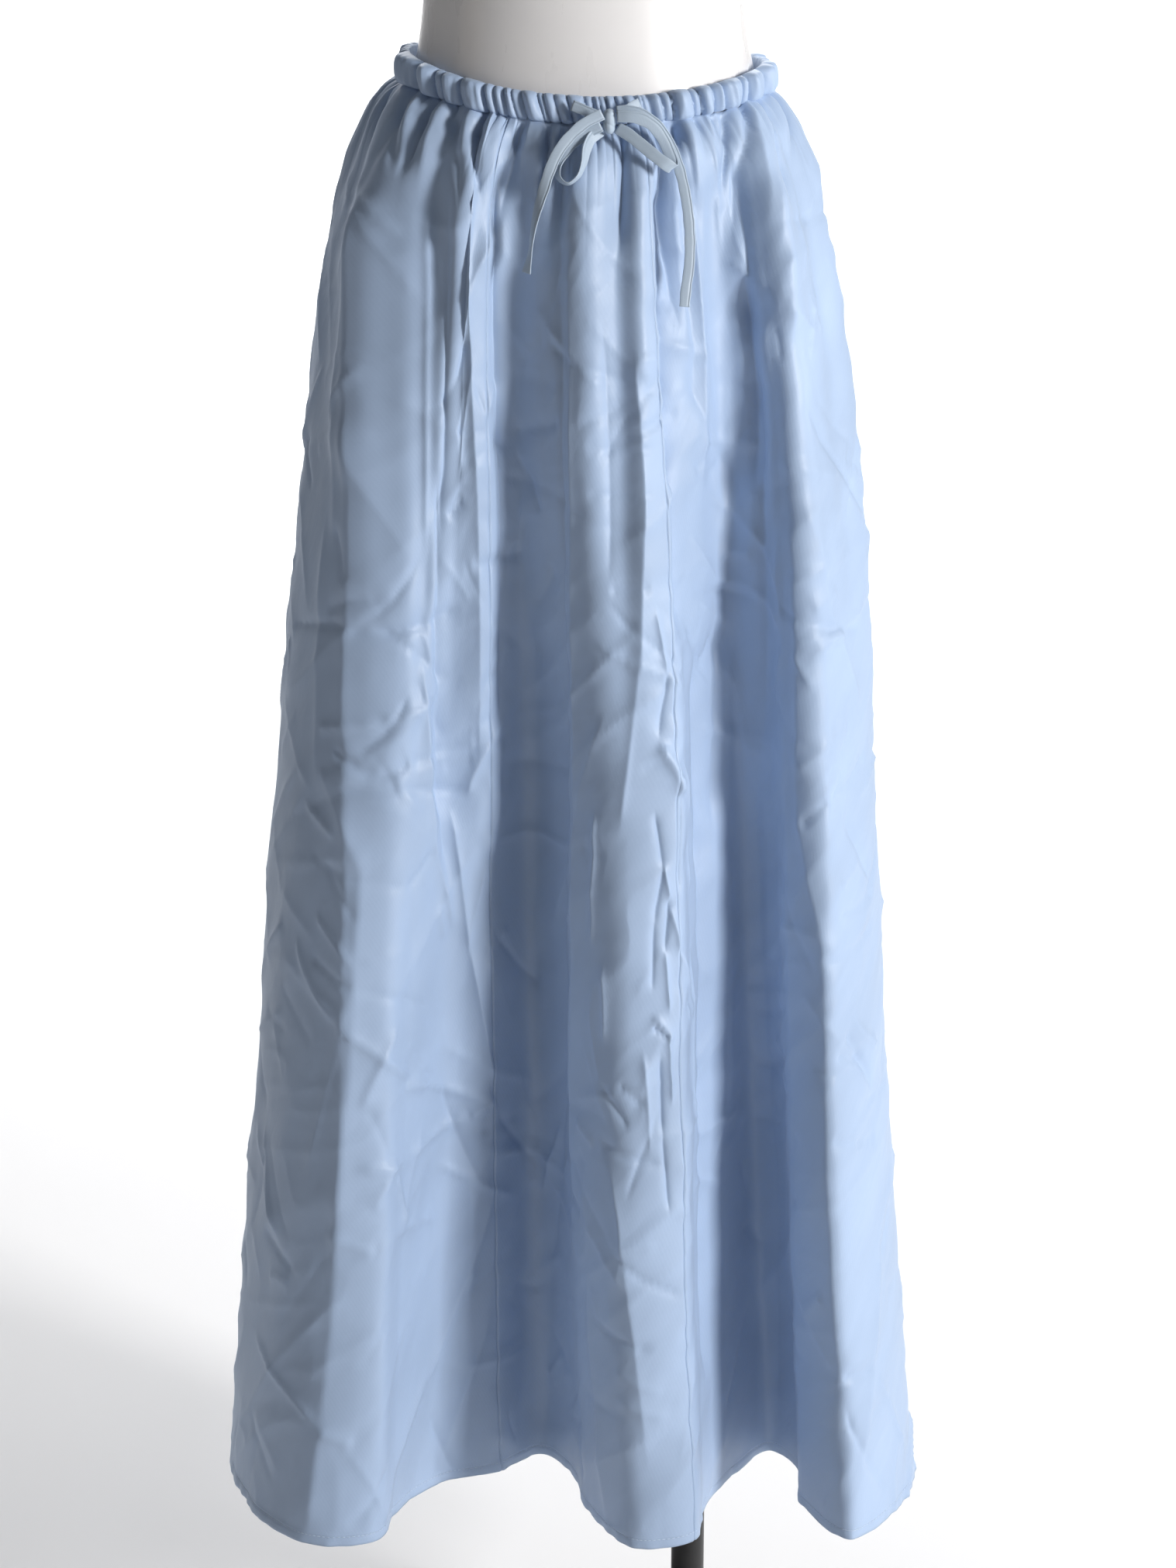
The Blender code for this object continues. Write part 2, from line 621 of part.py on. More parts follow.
def make_band(name, width, rows):
    """A flat band along a path, its width set at each row and kept square to the path."""
    table = np.array(rows, float)
    run = np.concatenate([[0.0], np.cumsum(np.linalg.norm(np.diff(table[:, :3], axis=0), axis=1))])
    at = np.linspace(0, run[-1], round(run[-1] / BAND_STEP) + 2)
    x, out, down, lean, tilt = (smooth(at, run, table[:, k]) for k in range(5))
    centre = np.stack([x, -out, CASING_TOP - down], axis=-1)
    along = np.gradient(centre, axis=0)
    along = along / np.linalg.norm(along, axis=1, keepdims=True)
    lean, tilt = np.radians(lean), np.radians(tilt)
    wide = np.stack(
        [np.cos(lean) * np.cos(tilt), -np.sin(tilt), np.sin(lean) * np.cos(tilt)], axis=-1
    )
    wide = wide - along * (wide * along).sum(axis=1, keepdims=True)
    wide = wide / np.linalg.norm(wide, axis=1, keepdims=True)
    face = np.cross(along, wide)
    corners = [
        centre + wide * width / 2 * a + face * BAND_THICK / 2 * b
        for a, b in ((1, -1), (1, 1), (-1, 1), (-1, -1))
    ]
    points = np.stack(corners, axis=1).reshape(-1, 3)
    rings = [[4 * k + i for i in range(4)] for k in range(len(at))]
    return new_object(name, points, ring_faces(rings, 4, closed=False), "tie")


def make_knot():
    """The knot: an upright rounded block that the bands come out of on both sides."""
    turn = np.linspace(0, math.tau, KNOT_SEGMENTS, endpoint=False)
    points, rings = [], []
    for height, share in KNOT_PROFILE:
        rings.append(list(range(len(points), len(points) + KNOT_SEGMENTS)))
        x = KNOT[0] + KNOT_HALF[0] * share * np.sin(turn)
        y = -KNOT[1] - KNOT_HALF[1] * share * np.cos(turn)
        z = CASING_TOP - KNOT[2] + KNOT_HALF[2] * height + 0 * turn
        points.extend(np.stack([x, y, z], axis=-1))
    faces = ring_faces(rings, KNOT_SEGMENTS, closed=False)
    return new_object("drawstring_knot", points, faces, "tie")


def make_turned(name, profile, finish, x=0.0, segments=32):
    """A turned piece: a closed outline of radius and height, spun about an upright axis."""
    mesh = bmesh.new()
    outline_points = [mesh.verts.new((radius, 0, height)) for radius, height in profile]
    edges = [
        mesh.edges.new((outline_points[i], outline_points[(i + 1) % len(profile)]))
        for i in range(len(profile))
        if profile[i][0] > 0 or profile[(i + 1) % len(profile)][0] > 0
    ]
    bmesh.ops.spin(
        mesh,
        geom=outline_points + edges,
        cent=(0, 0, 0),
        axis=(0, 0, 1),
        angle=math.tau,
        steps=segments,
    )
    bmesh.ops.remove_doubles(mesh, verts=mesh.verts, dist=1e-6)
    bmesh.ops.recalc_face_normals(mesh, faces=mesh.faces)
    data = bpy.data.meshes.new(name)
    mesh.to_mesh(data)
    mesh.free()
    made = bpy.data.objects.new(name, data)
    bpy.context.scene.collection.objects.link(made)
    made.location.x = x
    data.materials.append(material(finish))
    data.shade_smooth()
    data.set_sharp_from_angle(angle=math.radians(40))
    return made


def make_stand():
    """Round base, and the pole that carries the form."""
    edge, thick = BASE_RADIUS - BASE_BEVEL, BASE_THICK - BASE_BEVEL
    base = ((0, 0), (BASE_RADIUS, 0), (BASE_RADIUS, thick), (edge, BASE_THICK), (0, BASE_THICK))
    make_turned("stand_base", base, "stand", segments=64)
    foot, under = BASE_THICK + GAP, FORM_UNDERSIDE - GAP
    pole = ((0, foot), (POLE_RADIUS, foot), (POLE_RADIUS, under), (0, under))
    make_turned("stand_pole", pole, "stand", POLE_X, segments=24)


def main():
    for old in list(bpy.data.objects):
        bpy.data.objects.remove(old, do_unlink=True)
    make_form()
    make_stand()
    make_casing()
    names = (
        "gore_side_back_left",
        "gore_side_front_left",
        "gore_front",
        "gore_side_front_right",
        "gore_side_back_right",
        "gore_back",
    )
    for k, name in enumerate(names):
        start = SEAMS[k]
        end = SEAMS[k + 1] if k + 1 < len(SEAMS) else SEAMS[0] + 1
        make_gore(name, start, end)
    make_knot()
    for name, (width, rows) in BANDS.items():
        make_band(name, width, rows)


main()
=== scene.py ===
"""Maxi skirt of light blue satin on a white dress form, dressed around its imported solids.

Units are metres, +Z is up and the front of the skirt faces -Y. A point of the cloth is
named by two numbers: around, from 0 to 1 along the hem from the centre back by the left
side, the front and the right side, and drop, from 0 at the casing to 1 at the hem.
"""

import math

import bpy
import numpy as np
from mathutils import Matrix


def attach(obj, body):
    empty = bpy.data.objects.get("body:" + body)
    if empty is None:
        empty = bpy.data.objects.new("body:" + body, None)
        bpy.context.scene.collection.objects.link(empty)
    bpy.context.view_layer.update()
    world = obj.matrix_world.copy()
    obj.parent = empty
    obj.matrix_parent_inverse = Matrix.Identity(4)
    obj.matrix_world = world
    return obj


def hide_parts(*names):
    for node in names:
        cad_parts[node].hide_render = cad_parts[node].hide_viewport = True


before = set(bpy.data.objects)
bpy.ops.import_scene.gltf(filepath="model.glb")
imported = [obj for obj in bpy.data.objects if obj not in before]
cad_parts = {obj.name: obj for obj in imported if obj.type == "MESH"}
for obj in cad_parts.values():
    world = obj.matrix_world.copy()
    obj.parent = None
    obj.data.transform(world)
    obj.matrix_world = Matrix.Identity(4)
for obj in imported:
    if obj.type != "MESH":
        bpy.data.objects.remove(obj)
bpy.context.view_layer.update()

bl_info = {
    "name": "Maxi skirt on a dress form",
    "version": (1, 0, 0),
    "blender": (4, 5, 0),
    "location": "3D View > Sidebar > Skirt",
    "description": "Dresses the packed skirt with satin, gathers, creases, stitches and its tie",
    "category": "Add Mesh",
}

# Stand
BASE_RADIUS = 0.180
BASE_THICK = 0.006
POLE_X = 0.0775
POLE_RADIUS = 0.0127
BASE_COLUMNS = 192
POLE_COLUMNS = 72
GAP = 0.0003

# Dress form: height, half width, half depth and the section's centre along Y
FORM_UNDERSIDE = 0.980
FORM_CENTRE_X = -0.003
FORM_SECTIONS = (
    (0.980, 0.1430, 0.0900, 0.010),
    (0.992, 0.1500, 0.0970, 0.010),
    (1.030, 0.1540, 0.1030, 0.012),
    (1.080, 0.1560, 0.1070, 0.013),
    (1.120, 0.1545, 0.1065, 0.012),
    (1.160, 0.1490, 0.1030, 0.010),
    (1.200, 0.1400, 0.0985, 0.008),
    (1.230, 0.1290, 0.0950, 0.006),
    (1.265, 0.1180, 0.0910, 0.004),
    (1.290, 0.1120, 0.0880, 0.002),
    (1.320, 0.1082, 0.0855, 0.000),
    (1.355, 0.1065, 0.0845, -0.001),
    (1.395, 0.1090, 0.0855, -0.001),
    (1.445, 0.1175, 0.0895, 0.000),
    (1.470, 0.1228, 0.0914, 0.001),
    (1.495, 0.1280, 0.0930, 0.002),
    (1.520, 0.1322, 0.0942, 0.002),
    (1.545, 0.1360, 0.0950, 0.003),
    (1.568, 0.1393, 0.0946, 0.004),
    (1.590, 0.1430, 0.0935, 0.006),
    (1.630, 0.1540, 0.0870, 0.010),
    (1.660, 0.1610, 0.0790, 0.012),
    (1.683, 0.1560, 0.0710, 0.013),
    (1.702, 0.1330, 0.0635, 0.013),
    (1.718, 0.1020, 0.0570, 0.012),
    (1.735, 0.0740, 0.0520, 0.011),
    (1.758, 0.0570, 0.0495, 0.009),
    (1.790, 0.0515, 0.0490, 0.006),
    (1.830, 0.0500, 0.0485, 0.002),
)
BUST_HEIGHT = 1.542
BUST_APART = 0.078
BUST_DEPTH = 0.030
BUST_WIDTH = 0.047
BUST_TALL = 0.052
FORM_COLUMNS = 140
FORM_ROWS = 150
FORM_EDGE = 0.004

# Casing: the upper edge dips at the front and at the back and is higher at the hips
CASING_TOP = 1.2758
CASING_FRONT_DIP = 0.0053
CASING_LEAN = 0.0042
CASING_HIP_RISE = 0.0071
CASING_HEIGHT = 0.0165
CASING_CLEARANCE = 0.0004
# Distance out from the form, share of the height, and how much of a ruffle shows there
CASING_PROFILE = (
    (0.0000, -0.04, 0.00),
    (0.0062, -0.09, 0.75),
    (0.0092, 0.12, 1.00),
    (0.0092, 0.78, 1.00),
    (0.0058, 1.00, 0.90),
    (0.0010, 0.92, 0.10),
)
CASING_MIDDLE = 0.0050
CASING_RADIUS = 0.115
CASING_ROWS = 30
CASING_COLUMNS = 1280
LINING_ROWS = 12
LINING_SHRINK = 0.84
# Where the cloth is drawn into the casing: how far out from the form, how far up, and over
# which distance below the casing
TUCK_REACH = 0.0048
TUCK_RISE = 0.0010
TUCK_RUN = 0.003
# A ruffle's height out from the casing, its mean puff, its lift of the upper edge, and the
# height and size of the wrinkles over it; then the random draw's seed and its mean slant
RUFFLE_HIGH = 0.0078
RUFFLE_MEAN = 0.72
RUFFLE_LIFT = 0.0042
WRINKLE_HIGH = 0.0016
WRINKLE_DEGREES = 1.3
RUFFLE_SEED = 11
RUFFLE_SLANT = 1.2
# Degrees round the casing of the pinches between the ruffles in front
PINCHES = (
    -78.1, -61.1, -50.1, -46.0, -39.4, -29.5, -26.2, -23.0, -19.9, -16.8, -11.6, -9.8, -6.6,
    -2.9, 1.1, 3.5, 5.8, 8.0, 10.7, 13.2, 16.6, 18.9, 20.8, 24.7, 27.7, 35.1, 37.9, 42.7,
    47.6, 56.0, 60.0, 70.8, 79.0, 88.0,
)
HIDDEN_RUFFLES = 44

# Cloth
CLOTH_LOOK = "light blue satin"
WALL = 0.0010
HEM_HEIGHT = 0.270
CLOTH_LENGTH = 0.984
# Share of the hem's length at the waist, and what it gains from there to the hem
WAIST_SHARE = 0.42
FLARE_SHARE = 0.58
GATHER_HIGH = 0.0040
# The cloth settles on the form below the casing, and hangs free from a little further down
SETTLE = 0.0012
SETTLE_RUN = 0.04
FREE_RUN = 0.02
# Deepest hollow at the casing, and how much deeper a metre further down, in front and behind
DEEPEST = 0.0045
DEEPER_IN_FRONT = 0.4
DEEPER_BEHIND = 0.03
# The hidden cloth lies within this reach of the centre back, where around is both 0 and 1.
# For it, places below COUNTED_ON are counted on from 1.
HIDDEN_REACH = 0.27
COUNTED_ON = 0.23
INNER_STEP = 4

# Hem: its turning, the height of its edge, and its row of stitches
HEM_FOLD = 0.008
HEM_EDGE = 0.0005
STITCH_INSIDE = 0.0014
STITCH_APART = 0.0032
STITCH_SIZE = (0.0024, 0.0005)
STITCH_LIFT = 0.00012

# Section of a crease: how round its crest is, how much lean changes its two sides, how far
# it runs past its ends and the share of its length in which it fades
CREST_ROUND = 0.12
LEAN_SHARE = 0.55
PAST_ENDS = 0.06
END_FADE = 0.22
GATHER_FADE = 0.6

# Small creases: least and most of around, drop, length, slant, height draw and width. A
# crease is as high as the first of SMALL_HIGH and the second times its draw's square.
SMALL_CREASES = 620
SMALL_SEED = 31
SMALL_LEAST = (0.0, 0.07, 0.02, -1.3, -1.0, 0.0026)
SMALL_MOST = (1.0, 0.97, 0.09, 1.3, 1.0, 0.0050)
SMALL_HIGH = (0.0009, 0.0017)

# Creases of the hidden sides: around is taken from this sum, then least and most of the
# shift around, the slip down and the share of the height
TURNED_ABOUT = 1.5
BACK_SEED = 23
BACK_LEAST = (-0.03, -0.03, 0.7)
BACK_MOST = (0.03, 0.04, 1.1)

# Uneven swell of the cloth: its height, and the size of its broad and its fine grain
CRINKLE_HIGH = 0.0016
BROAD_GRAIN = (0.034, 0.115)
FINE_GRAIN = (0.017, 0.050)
# Sharp low ridges: seed, slant in radians, size and depth
RIDGES = (
    (5, 0.5, 0.040, 0.0021),
    (6, -0.7, 0.030, 0.0016),
    (7, 1.2, 0.024, 0.0010),
)
NOISE_GRID = 64

# Gores' seams: depth and width of the groove, and height and reach of the puckers
GROOVE = (0.0007, 0.0009)
PUCKER = (0.0026, 0.011)

# Outline of the cloth at each distance below the casing:
# distance, half width, half depth, centre along X, centre along Y
OUTLINE = (
    (0.000, 0.1258, 0.1003, -0.0030, 0.005),
    (0.007, 0.1338, 0.1060, -0.0032, 0.005),
    (0.020, 0.1443, 0.1140, -0.0038, 0.004),
    (0.040, 0.1535, 0.1215, -0.0050, 0.004),
    (0.070, 0.1620, 0.1280, -0.0064, 0.003),
    (0.101, 0.1690, 0.1330, -0.0070, 0.003),
    (0.165, 0.1805, 0.1420, -0.0070, 0.003),
    (0.264, 0.1925, 0.1540, -0.0068, 0.002),
    (0.365, 0.2025, 0.1640, -0.0075, 0.002),
    (0.468, 0.2105, 0.1730, -0.0095, 0.001),
    (0.574, 0.2185, 0.1830, -0.0115, 0.001),
    (0.684, 0.2260, 0.1930, -0.0130, 0.000),
    (0.795, 0.2350, 0.2020, -0.0140, 0.000),
    (0.910, 0.2450, 0.2090, -0.0145, 0.000),
    (1.000, 0.2525, 0.2130, -0.0149, 0.000),
)

# Lengthwise folds, from the centre back round by the left side: where each starts on the
# casing in degrees, 0 at the centre front, where it meets the hem, and the power of the drop
# that its way out follows, lower where it opens early. Gores meet at those named seam.
FOLDS = (
    # name, casing degrees, hem x, hem y, power
    ("back_lobe", -180.0, -0.012, 0.206, 1.10),
    ("back_lobe_edge", -171.0, -0.048, 0.190, 1.10),
    ("back_valley_left", -161.0, -0.070, 0.122, 1.10),
    ("back_seam_left", -151.0, -0.098, 0.172, 1.10),
    ("back_left_crest", -142.0, -0.134, 0.192, 1.10),
    ("back_left_flank", -133.0, -0.166, 0.152, 1.10),
    ("side_left_valley", -125.0, -0.172, 0.088, 1.10),
    ("side_left_back", -115.0, -0.224, 0.092, 1.10),
    ("side_left_crest", -106.0, -0.254, 0.040, 1.10),
    ("side_left_dip", -99.0, -0.236, -0.008, 1.10),
    ("side_seam_left", -92.0, -0.264, -0.056, 1.10),
    ("left_outer", -81.0, -0.250, -0.145, 0.95),
    ("left_round", -73.0, -0.224, -0.190, 0.90),
    ("left_crest", -66.0, -0.196, -0.212, 0.90),
    ("left_plane", -44.0, -0.148, -0.208, 0.95),
    ("left_turn", -31.0, -0.139, -0.172, 0.95),
    ("left_flank", -26.5, -0.110, -0.127, 0.88),
    ("front_seam_left", -22.8, -0.064, -0.107, 0.92),
    ("front_valley", -18.0, -0.034, -0.083, 0.80),
    ("front_flank", -11.5, -0.012, -0.112, 0.86),
    ("front_plane", -4.5, 0.000, -0.165, 1.00),
    ("front_crest", 6.0, 0.038, -0.218, 0.85),
    ("front_seam_right", 16.5, 0.0745, -0.207, 0.85),
    ("right_turn", 18.8, 0.084, -0.164, 0.78),
    ("right_inner", 22.5, 0.108, -0.112, 0.72),
    ("right_valley", 27.5, 0.136, -0.077, 0.72),
    ("right_flank", 35.0, 0.153, -0.100, 0.76),
    ("right_rise", 47.0, 0.156, -0.160, 0.80),
    ("right_crest", 60.0, 0.186, -0.206, 0.80),
    ("right_outer", 76.0, 0.224, -0.160, 0.85),
    ("side_seam_right", 88.0, 0.239, -0.100, 0.95),
    ("side_right_dip", 99.0, 0.212, -0.042, 1.00),
    ("side_right_crest", 110.0, 0.236, 0.020, 1.00),
    ("side_right_back", 122.0, 0.218, 0.084, 1.10),
    ("side_right_valley", 131.0, 0.158, 0.082, 1.10),
    ("back_right_flank", 139.0, 0.148, 0.146, 1.10),
    ("back_right_crest", 147.0, 0.116, 0.186, 1.10),
    ("back_seam_right", 156.0, 0.076, 0.178, 1.10),
    ("back_valley_right", 166.0, 0.050, 0.118, 1.10),
    ("back_lobe_start", 173.0, 0.026, 0.180, 1.10),
)
# Rows repeated at each end of a closed table
OVERLAP = 3

# Pleats that open below the casing: where each starts in degrees, how far it leans
# by its end, its depth and width, and how far down it runs
PLEATS = (
    # degrees, lean, depth, width, length
    (-84.0, -3.0, 0.0030, 0.016, 0.150),
    (-73.0, -2.5, 0.0036, 0.014, 0.110),
    (-58.0, -9.0, 0.0052, 0.011, 0.075),
    (-51.0, -2.0, 0.0030, 0.012, 0.050),
    (-37.0, -4.0, 0.0050, 0.012, 0.065),
    (-20.5, 0.0, 0.0062, 0.013, 0.090),
    (-15.0, -2.0, 0.0050, 0.017, 0.210),
    (-6.0, -0.5, 0.0040, 0.012, 0.120),
    (38.0, 1.0, 0.0030, 0.010, 0.050),
    (45.5, -1.0, 0.0044, 0.013, 0.100),
    (67.0, 3.0, 0.0034, 0.013, 0.090),
    (79.0, 4.0, 0.0036, 0.014, 0.130),
    (95.0, 1.0, 0.0034, 0.016, 0.110),
    (108.0, 3.0, 0.0048, 0.015, 0.150),
    (120.0, -2.0, 0.0040, 0.014, 0.090),
    (131.0, 2.0, 0.0056, 0.015, 0.170),
    (144.0, 3.0, 0.0040, 0.014, 0.100),
    (155.0, -2.0, 0.0052, 0.014, 0.130),
    (167.0, 2.0, 0.0050, 0.016, 0.200),
    (-176.0, -2.0, 0.0040, 0.014, 0.090),
    (-163.0, 2.0, 0.0054, 0.015, 0.160),
    (-150.0, -3.0, 0.0044, 0.013, 0.100),
    (-138.0, 2.0, 0.0050, 0.015, 0.140),
    (-124.0, -2.0, 0.0054, 0.016, 0.180),
    (-110.0, 3.0, 0.0040, 0.014, 0.100),
    (-97.0, -2.0, 0.0036, 0.015, 0.130),
)

# Long folds of the gathered part: where each starts on the casing in degrees and how
# far it wanders by its end, its height (a trough below zero), its width and length
SWELLS = (
    # degrees, lean, height, width, length
    (-61.0, 11.0, 0.0040, 0.020, 0.460),
    (-41.5, 14.0, -0.0070, 0.014, 0.520),
    (-30.5, 6.0, 0.0070, 0.013, 0.520),
    (0.6, -0.8, 0.0060, 0.011, 0.420),
    (10.4, -4.4, -0.0055, 0.010, 0.430),
    (15.0, -6.0, 0.0060, 0.010, 0.430),
    (19.8, -2.4, -0.0055, 0.010, 0.360),
    (24.4, -2.8, 0.0055, 0.011, 0.380),
    (39.0, -17.5, -0.0080, 0.017, 0.500),
    (51.5, 3.5, 0.0110, 0.018, 0.560),
    (72.0, 3.0, -0.0050, 0.018, 0.420),
    (86.0, 2.0, 0.0050, 0.020, 0.480),
    (104.0, -3.0, -0.0060, 0.016, 0.420),
    (118.0, 2.0, 0.0060, 0.015, 0.500),
    (134.0, -4.0, -0.0060, 0.013, 0.380),
    (146.0, 3.0, 0.0065, 0.014, 0.460),
    (161.0, -3.0, -0.0060, 0.014, 0.500),
    (172.0, 2.0, 0.0060, 0.013, 0.400),
    (-171.0, 3.0, -0.0055, 0.012, 0.450),
    (-158.0, -2.0, 0.0065, 0.015, 0.520),
    (-143.0, -3.0, -0.0060, 0.013, 0.380),
    (-128.0, 4.0, 0.0060, 0.015, 0.440),
    (-113.0, 2.0, -0.0055, 0.016, 0.500),
    (-97.0, -2.0, 0.0050, 0.017, 0.420),
    (-79.0, 3.0, -0.0040, 0.018, 0.400),
)

# Gores from the centre back round by the left side, with the columns of each
GORES = (
    ("gore_side_back_left", 104),
    ("gore_side_front_left", 240),
    ("gore_front", 228),
    ("gore_side_front_right", 248),
    ("gore_side_back_right", 104),
    ("gore_back", 104),
)

# Folds and creases of the cloth. A row holds where one starts and where it ends, each as
# around in ten-thousandths and drop in thousandths, its bow across in mm, its height in
# tenths of a mm, below zero for a trough, its width in tenths of a mm, and its lean in
# tenths, above or below zero as one side or the other is the steeper.
FOLD_UNITS = (1e4, 1e3, 1e4, 1e3, 1e3, 1e4, 1e4, 10)


def fold_rows(*table):
    """A table of folds in around, drop and metres: each number divided by its unit."""
    return [tuple(value / unit for value, unit in zip(row, FOLD_UNITS)) for row in table]


# Gathers that open below the casing in front
GATHERS = fold_rows(
    (2930, -12, 3171, 40, 1, -61, 36, 0),
    (3380, -12, 3410, 16, 0, -52, 24, 0),
    (3407, 6, 3495, 52, 1, -43, 44, 2),
    (3433, -10, 3515, 46, 1, 35, 42, 3),
    (3490, -12, 3489, 18, 0, -43, 18, 0),
    (3532, -12, 3531, 24, 0, -90, 25, 3),
    (3534, 10, 3518, 52, 1, -75, 28, 3),
    (3543, -12, 3595, 55, 1, 37, 52, 0),
    (3615, -12, 3619, 16, 0, -72, 24, 0),
    (3630, 4, 3725, 36, 1, -49, 50, 3),
    (3707, 26, 3802, 63, 1, -38, 60, 3),
    (3650, -12, 3747, 34, 1, 37, 52, 0),
    (3760, -12, 3777, 20, 0, -93, 24, 3),
    (3763, 8, 3891, 40, 0, -78, 30, 3),
    (3837, 28, 4190, 62, 1, -41, 40, 0),
    (3795, -10, 4106, 42, 1, 28, 34, 0),
    (3993, -12, 4004, 9, 0, -38, 16, 0),
    (4200, -12, 4200, 11, 0, -38, 16, 0),
    (4324, -12, 4357, 16, 0, 22, 24, 0),
    (4444, -12, 4381, 18, 0, -90, 28, 3),
    (4406, 8, 4340, 67, 1, -75, 42, 4),
    (4487, -10, 4415, 37, 1, 32, 40, 0),
    (4632, -12, 4611, 18, 0, -90, 24, 3),
    (4626, 8, 4549, 53, 1, -67, 32, 3),
    (4858, -12, 4798, 18, 0, -72, 26, 0),
    (4801, 10, 4788, 70, 1, -49, 50, 0),
    (4980, -12, 5002, 30, 0, -49, 24, 0),
    (5100, -12, 5095, 20, 0, -38, 20, 0),
    (5236, -12, 5222, 26, 0, -90, 28, 0),
    (5224, 14, 5182, 90, 1, -70, 42, 2),
    (5693, 20, 5740, 143, 1, -93, 50, -3),
    (5708, -12, 5642, 30, 0, -43, 24, 0),
    (5865, -12, 5845, 18, 0, 22, 24, 0),
    (5956, -12, 5898, 27, 0, -90, 26, 0),
    (6038, -12, 5933, 25, 0, -70, 24, 0),
    (6069, -12, 6000, 66, 1, 37, 58, 0),
    (6166, -12, 6090, 28, 0, -55, 28, 0),
    (6253, -12, 6163, 34, 0, 30, 32, 0),
    (6175, 22, 6090, 96, 1, 28, 46, 0),
    (6323, -12, 6250, 20, 0, -64, 24, 0),
    (6473, -12, 6332, 18, 0, -81, 24, 0),
    (6355, 6, 6127, 56, 1, -72, 38, 2),
    (6634, -12, 6540, 18, 0, -81, 24, 0),
    (6567, 6, 6288, 45, 1, -64, 52, 3),
    (6335, 34, 6165, 90, 1, -43, 66, 3),
    (6694, -10, 6520, 34, 0, 40, 52, 0),
    (6550, 18, 6463, 84, 1, 28, 64, 0),
    (6843, -12, 6703, 32, 0, -72, 28, 0),
    (6720, 20, 6675, 73, 1, -41, 46, 0),
    (6829, -4, 6640, 35, 1, 30, 40, 0),
    (7180, -12, 6883, 43, 1, -64, 32, 0),
)

# Long soft folds down the left lobe, which the hidden sides don't repeat
LEFT_FOLDS = fold_rows(
    (3403, 60, 3340, 200, 2, 26, 90, 3),
    (3340, 180, 3365, 299, 1, 26, 99, 3),
    (3271, 289, 3317, 468, -2, 31, 99, 3),
    (3333, 449, 3502, 514, 2, 23, 72, 2),
    (3502, 498, 3465, 688, 1, 34, 99, 3),
    (3465, 669, 3425, 849, -2, 31, 99, 3),
    (3425, 829, 3350, 995, 1, 29, 99, 3),
)
# Long soft folds down the front
LONG_FOLDS = fold_rows(
    (4250, 764, 3942, 913, 3, 29, 63, -4),
    (3940, 903, 3618, 990, 2, 31, 45, -4),
    (4208, 869, 4012, 985, 2, 21, 54, -3),
    (4823, 30, 4815, 200, 1, -39, 99, 3),
    (4817, 180, 4663, 522, -2, -42, 108, 3),
    (4663, 502, 4470, 853, 2, -39, 117, 3),
    (4467, 833, 4425, 990, 1, -26, 108, 2),
    (4872, 15, 4893, 160, 1, 31, 63, 4),
    (4895, 145, 4835, 450, -1, 34, 63, 4),
    (4835, 440, 4743, 780, 1, 29, 81, 4),
    (4895, 810, 4975, 990, -1, 26, 72, 3),
    (5222, 150, 5232, 260, 1, 23, 45, -3),
    (5235, 244, 5205, 359, -1, 23, 45, -3),
    (5205, 344, 5117, 469, 1, 21, 45, -2),
    (5062, 720, 5177, 935, 2, 21, 63, 3),
    (5915, 30, 5808, 194, 1, -44, 81, 0),
    (6072, 30, 5948, 143, 1, 29, 54, 0),
    (5955, 133, 5982, 305, -1, 26, 63, 2),
    (6050, 172, 5887, 528, 1, 29, 72, 3),
    (5895, 508, 5855, 708, 1, 23, 72, 3),
    (6260, 148, 6060, 492, 2, -36, 90, -2),
    (6070, 471, 6100, 773, -2, -34, 90, -2),
    (6108, 752, 6034, 995, 1, -26, 90, -2),
    (6511, 320, 6498, 498, 1, 26, 63, 3),
    (6583, 262, 6708, 342, 3, 21, 54, 2),
    (6710, 333, 6920, 410, 1, 18, 54, 2),
    (6510, 473, 6623, 559, -2, 18, 54, 2),
    (6625, 550, 6640, 650, 1, 29, 72, 3),
    (6643, 630, 6665, 896, -2, 29, 72, 3),
    (6930, 796, 6745, 954, 1, 21, 54, -3),
    (6798, 39, 6710, 117, 1, 23, 54, 0),
)
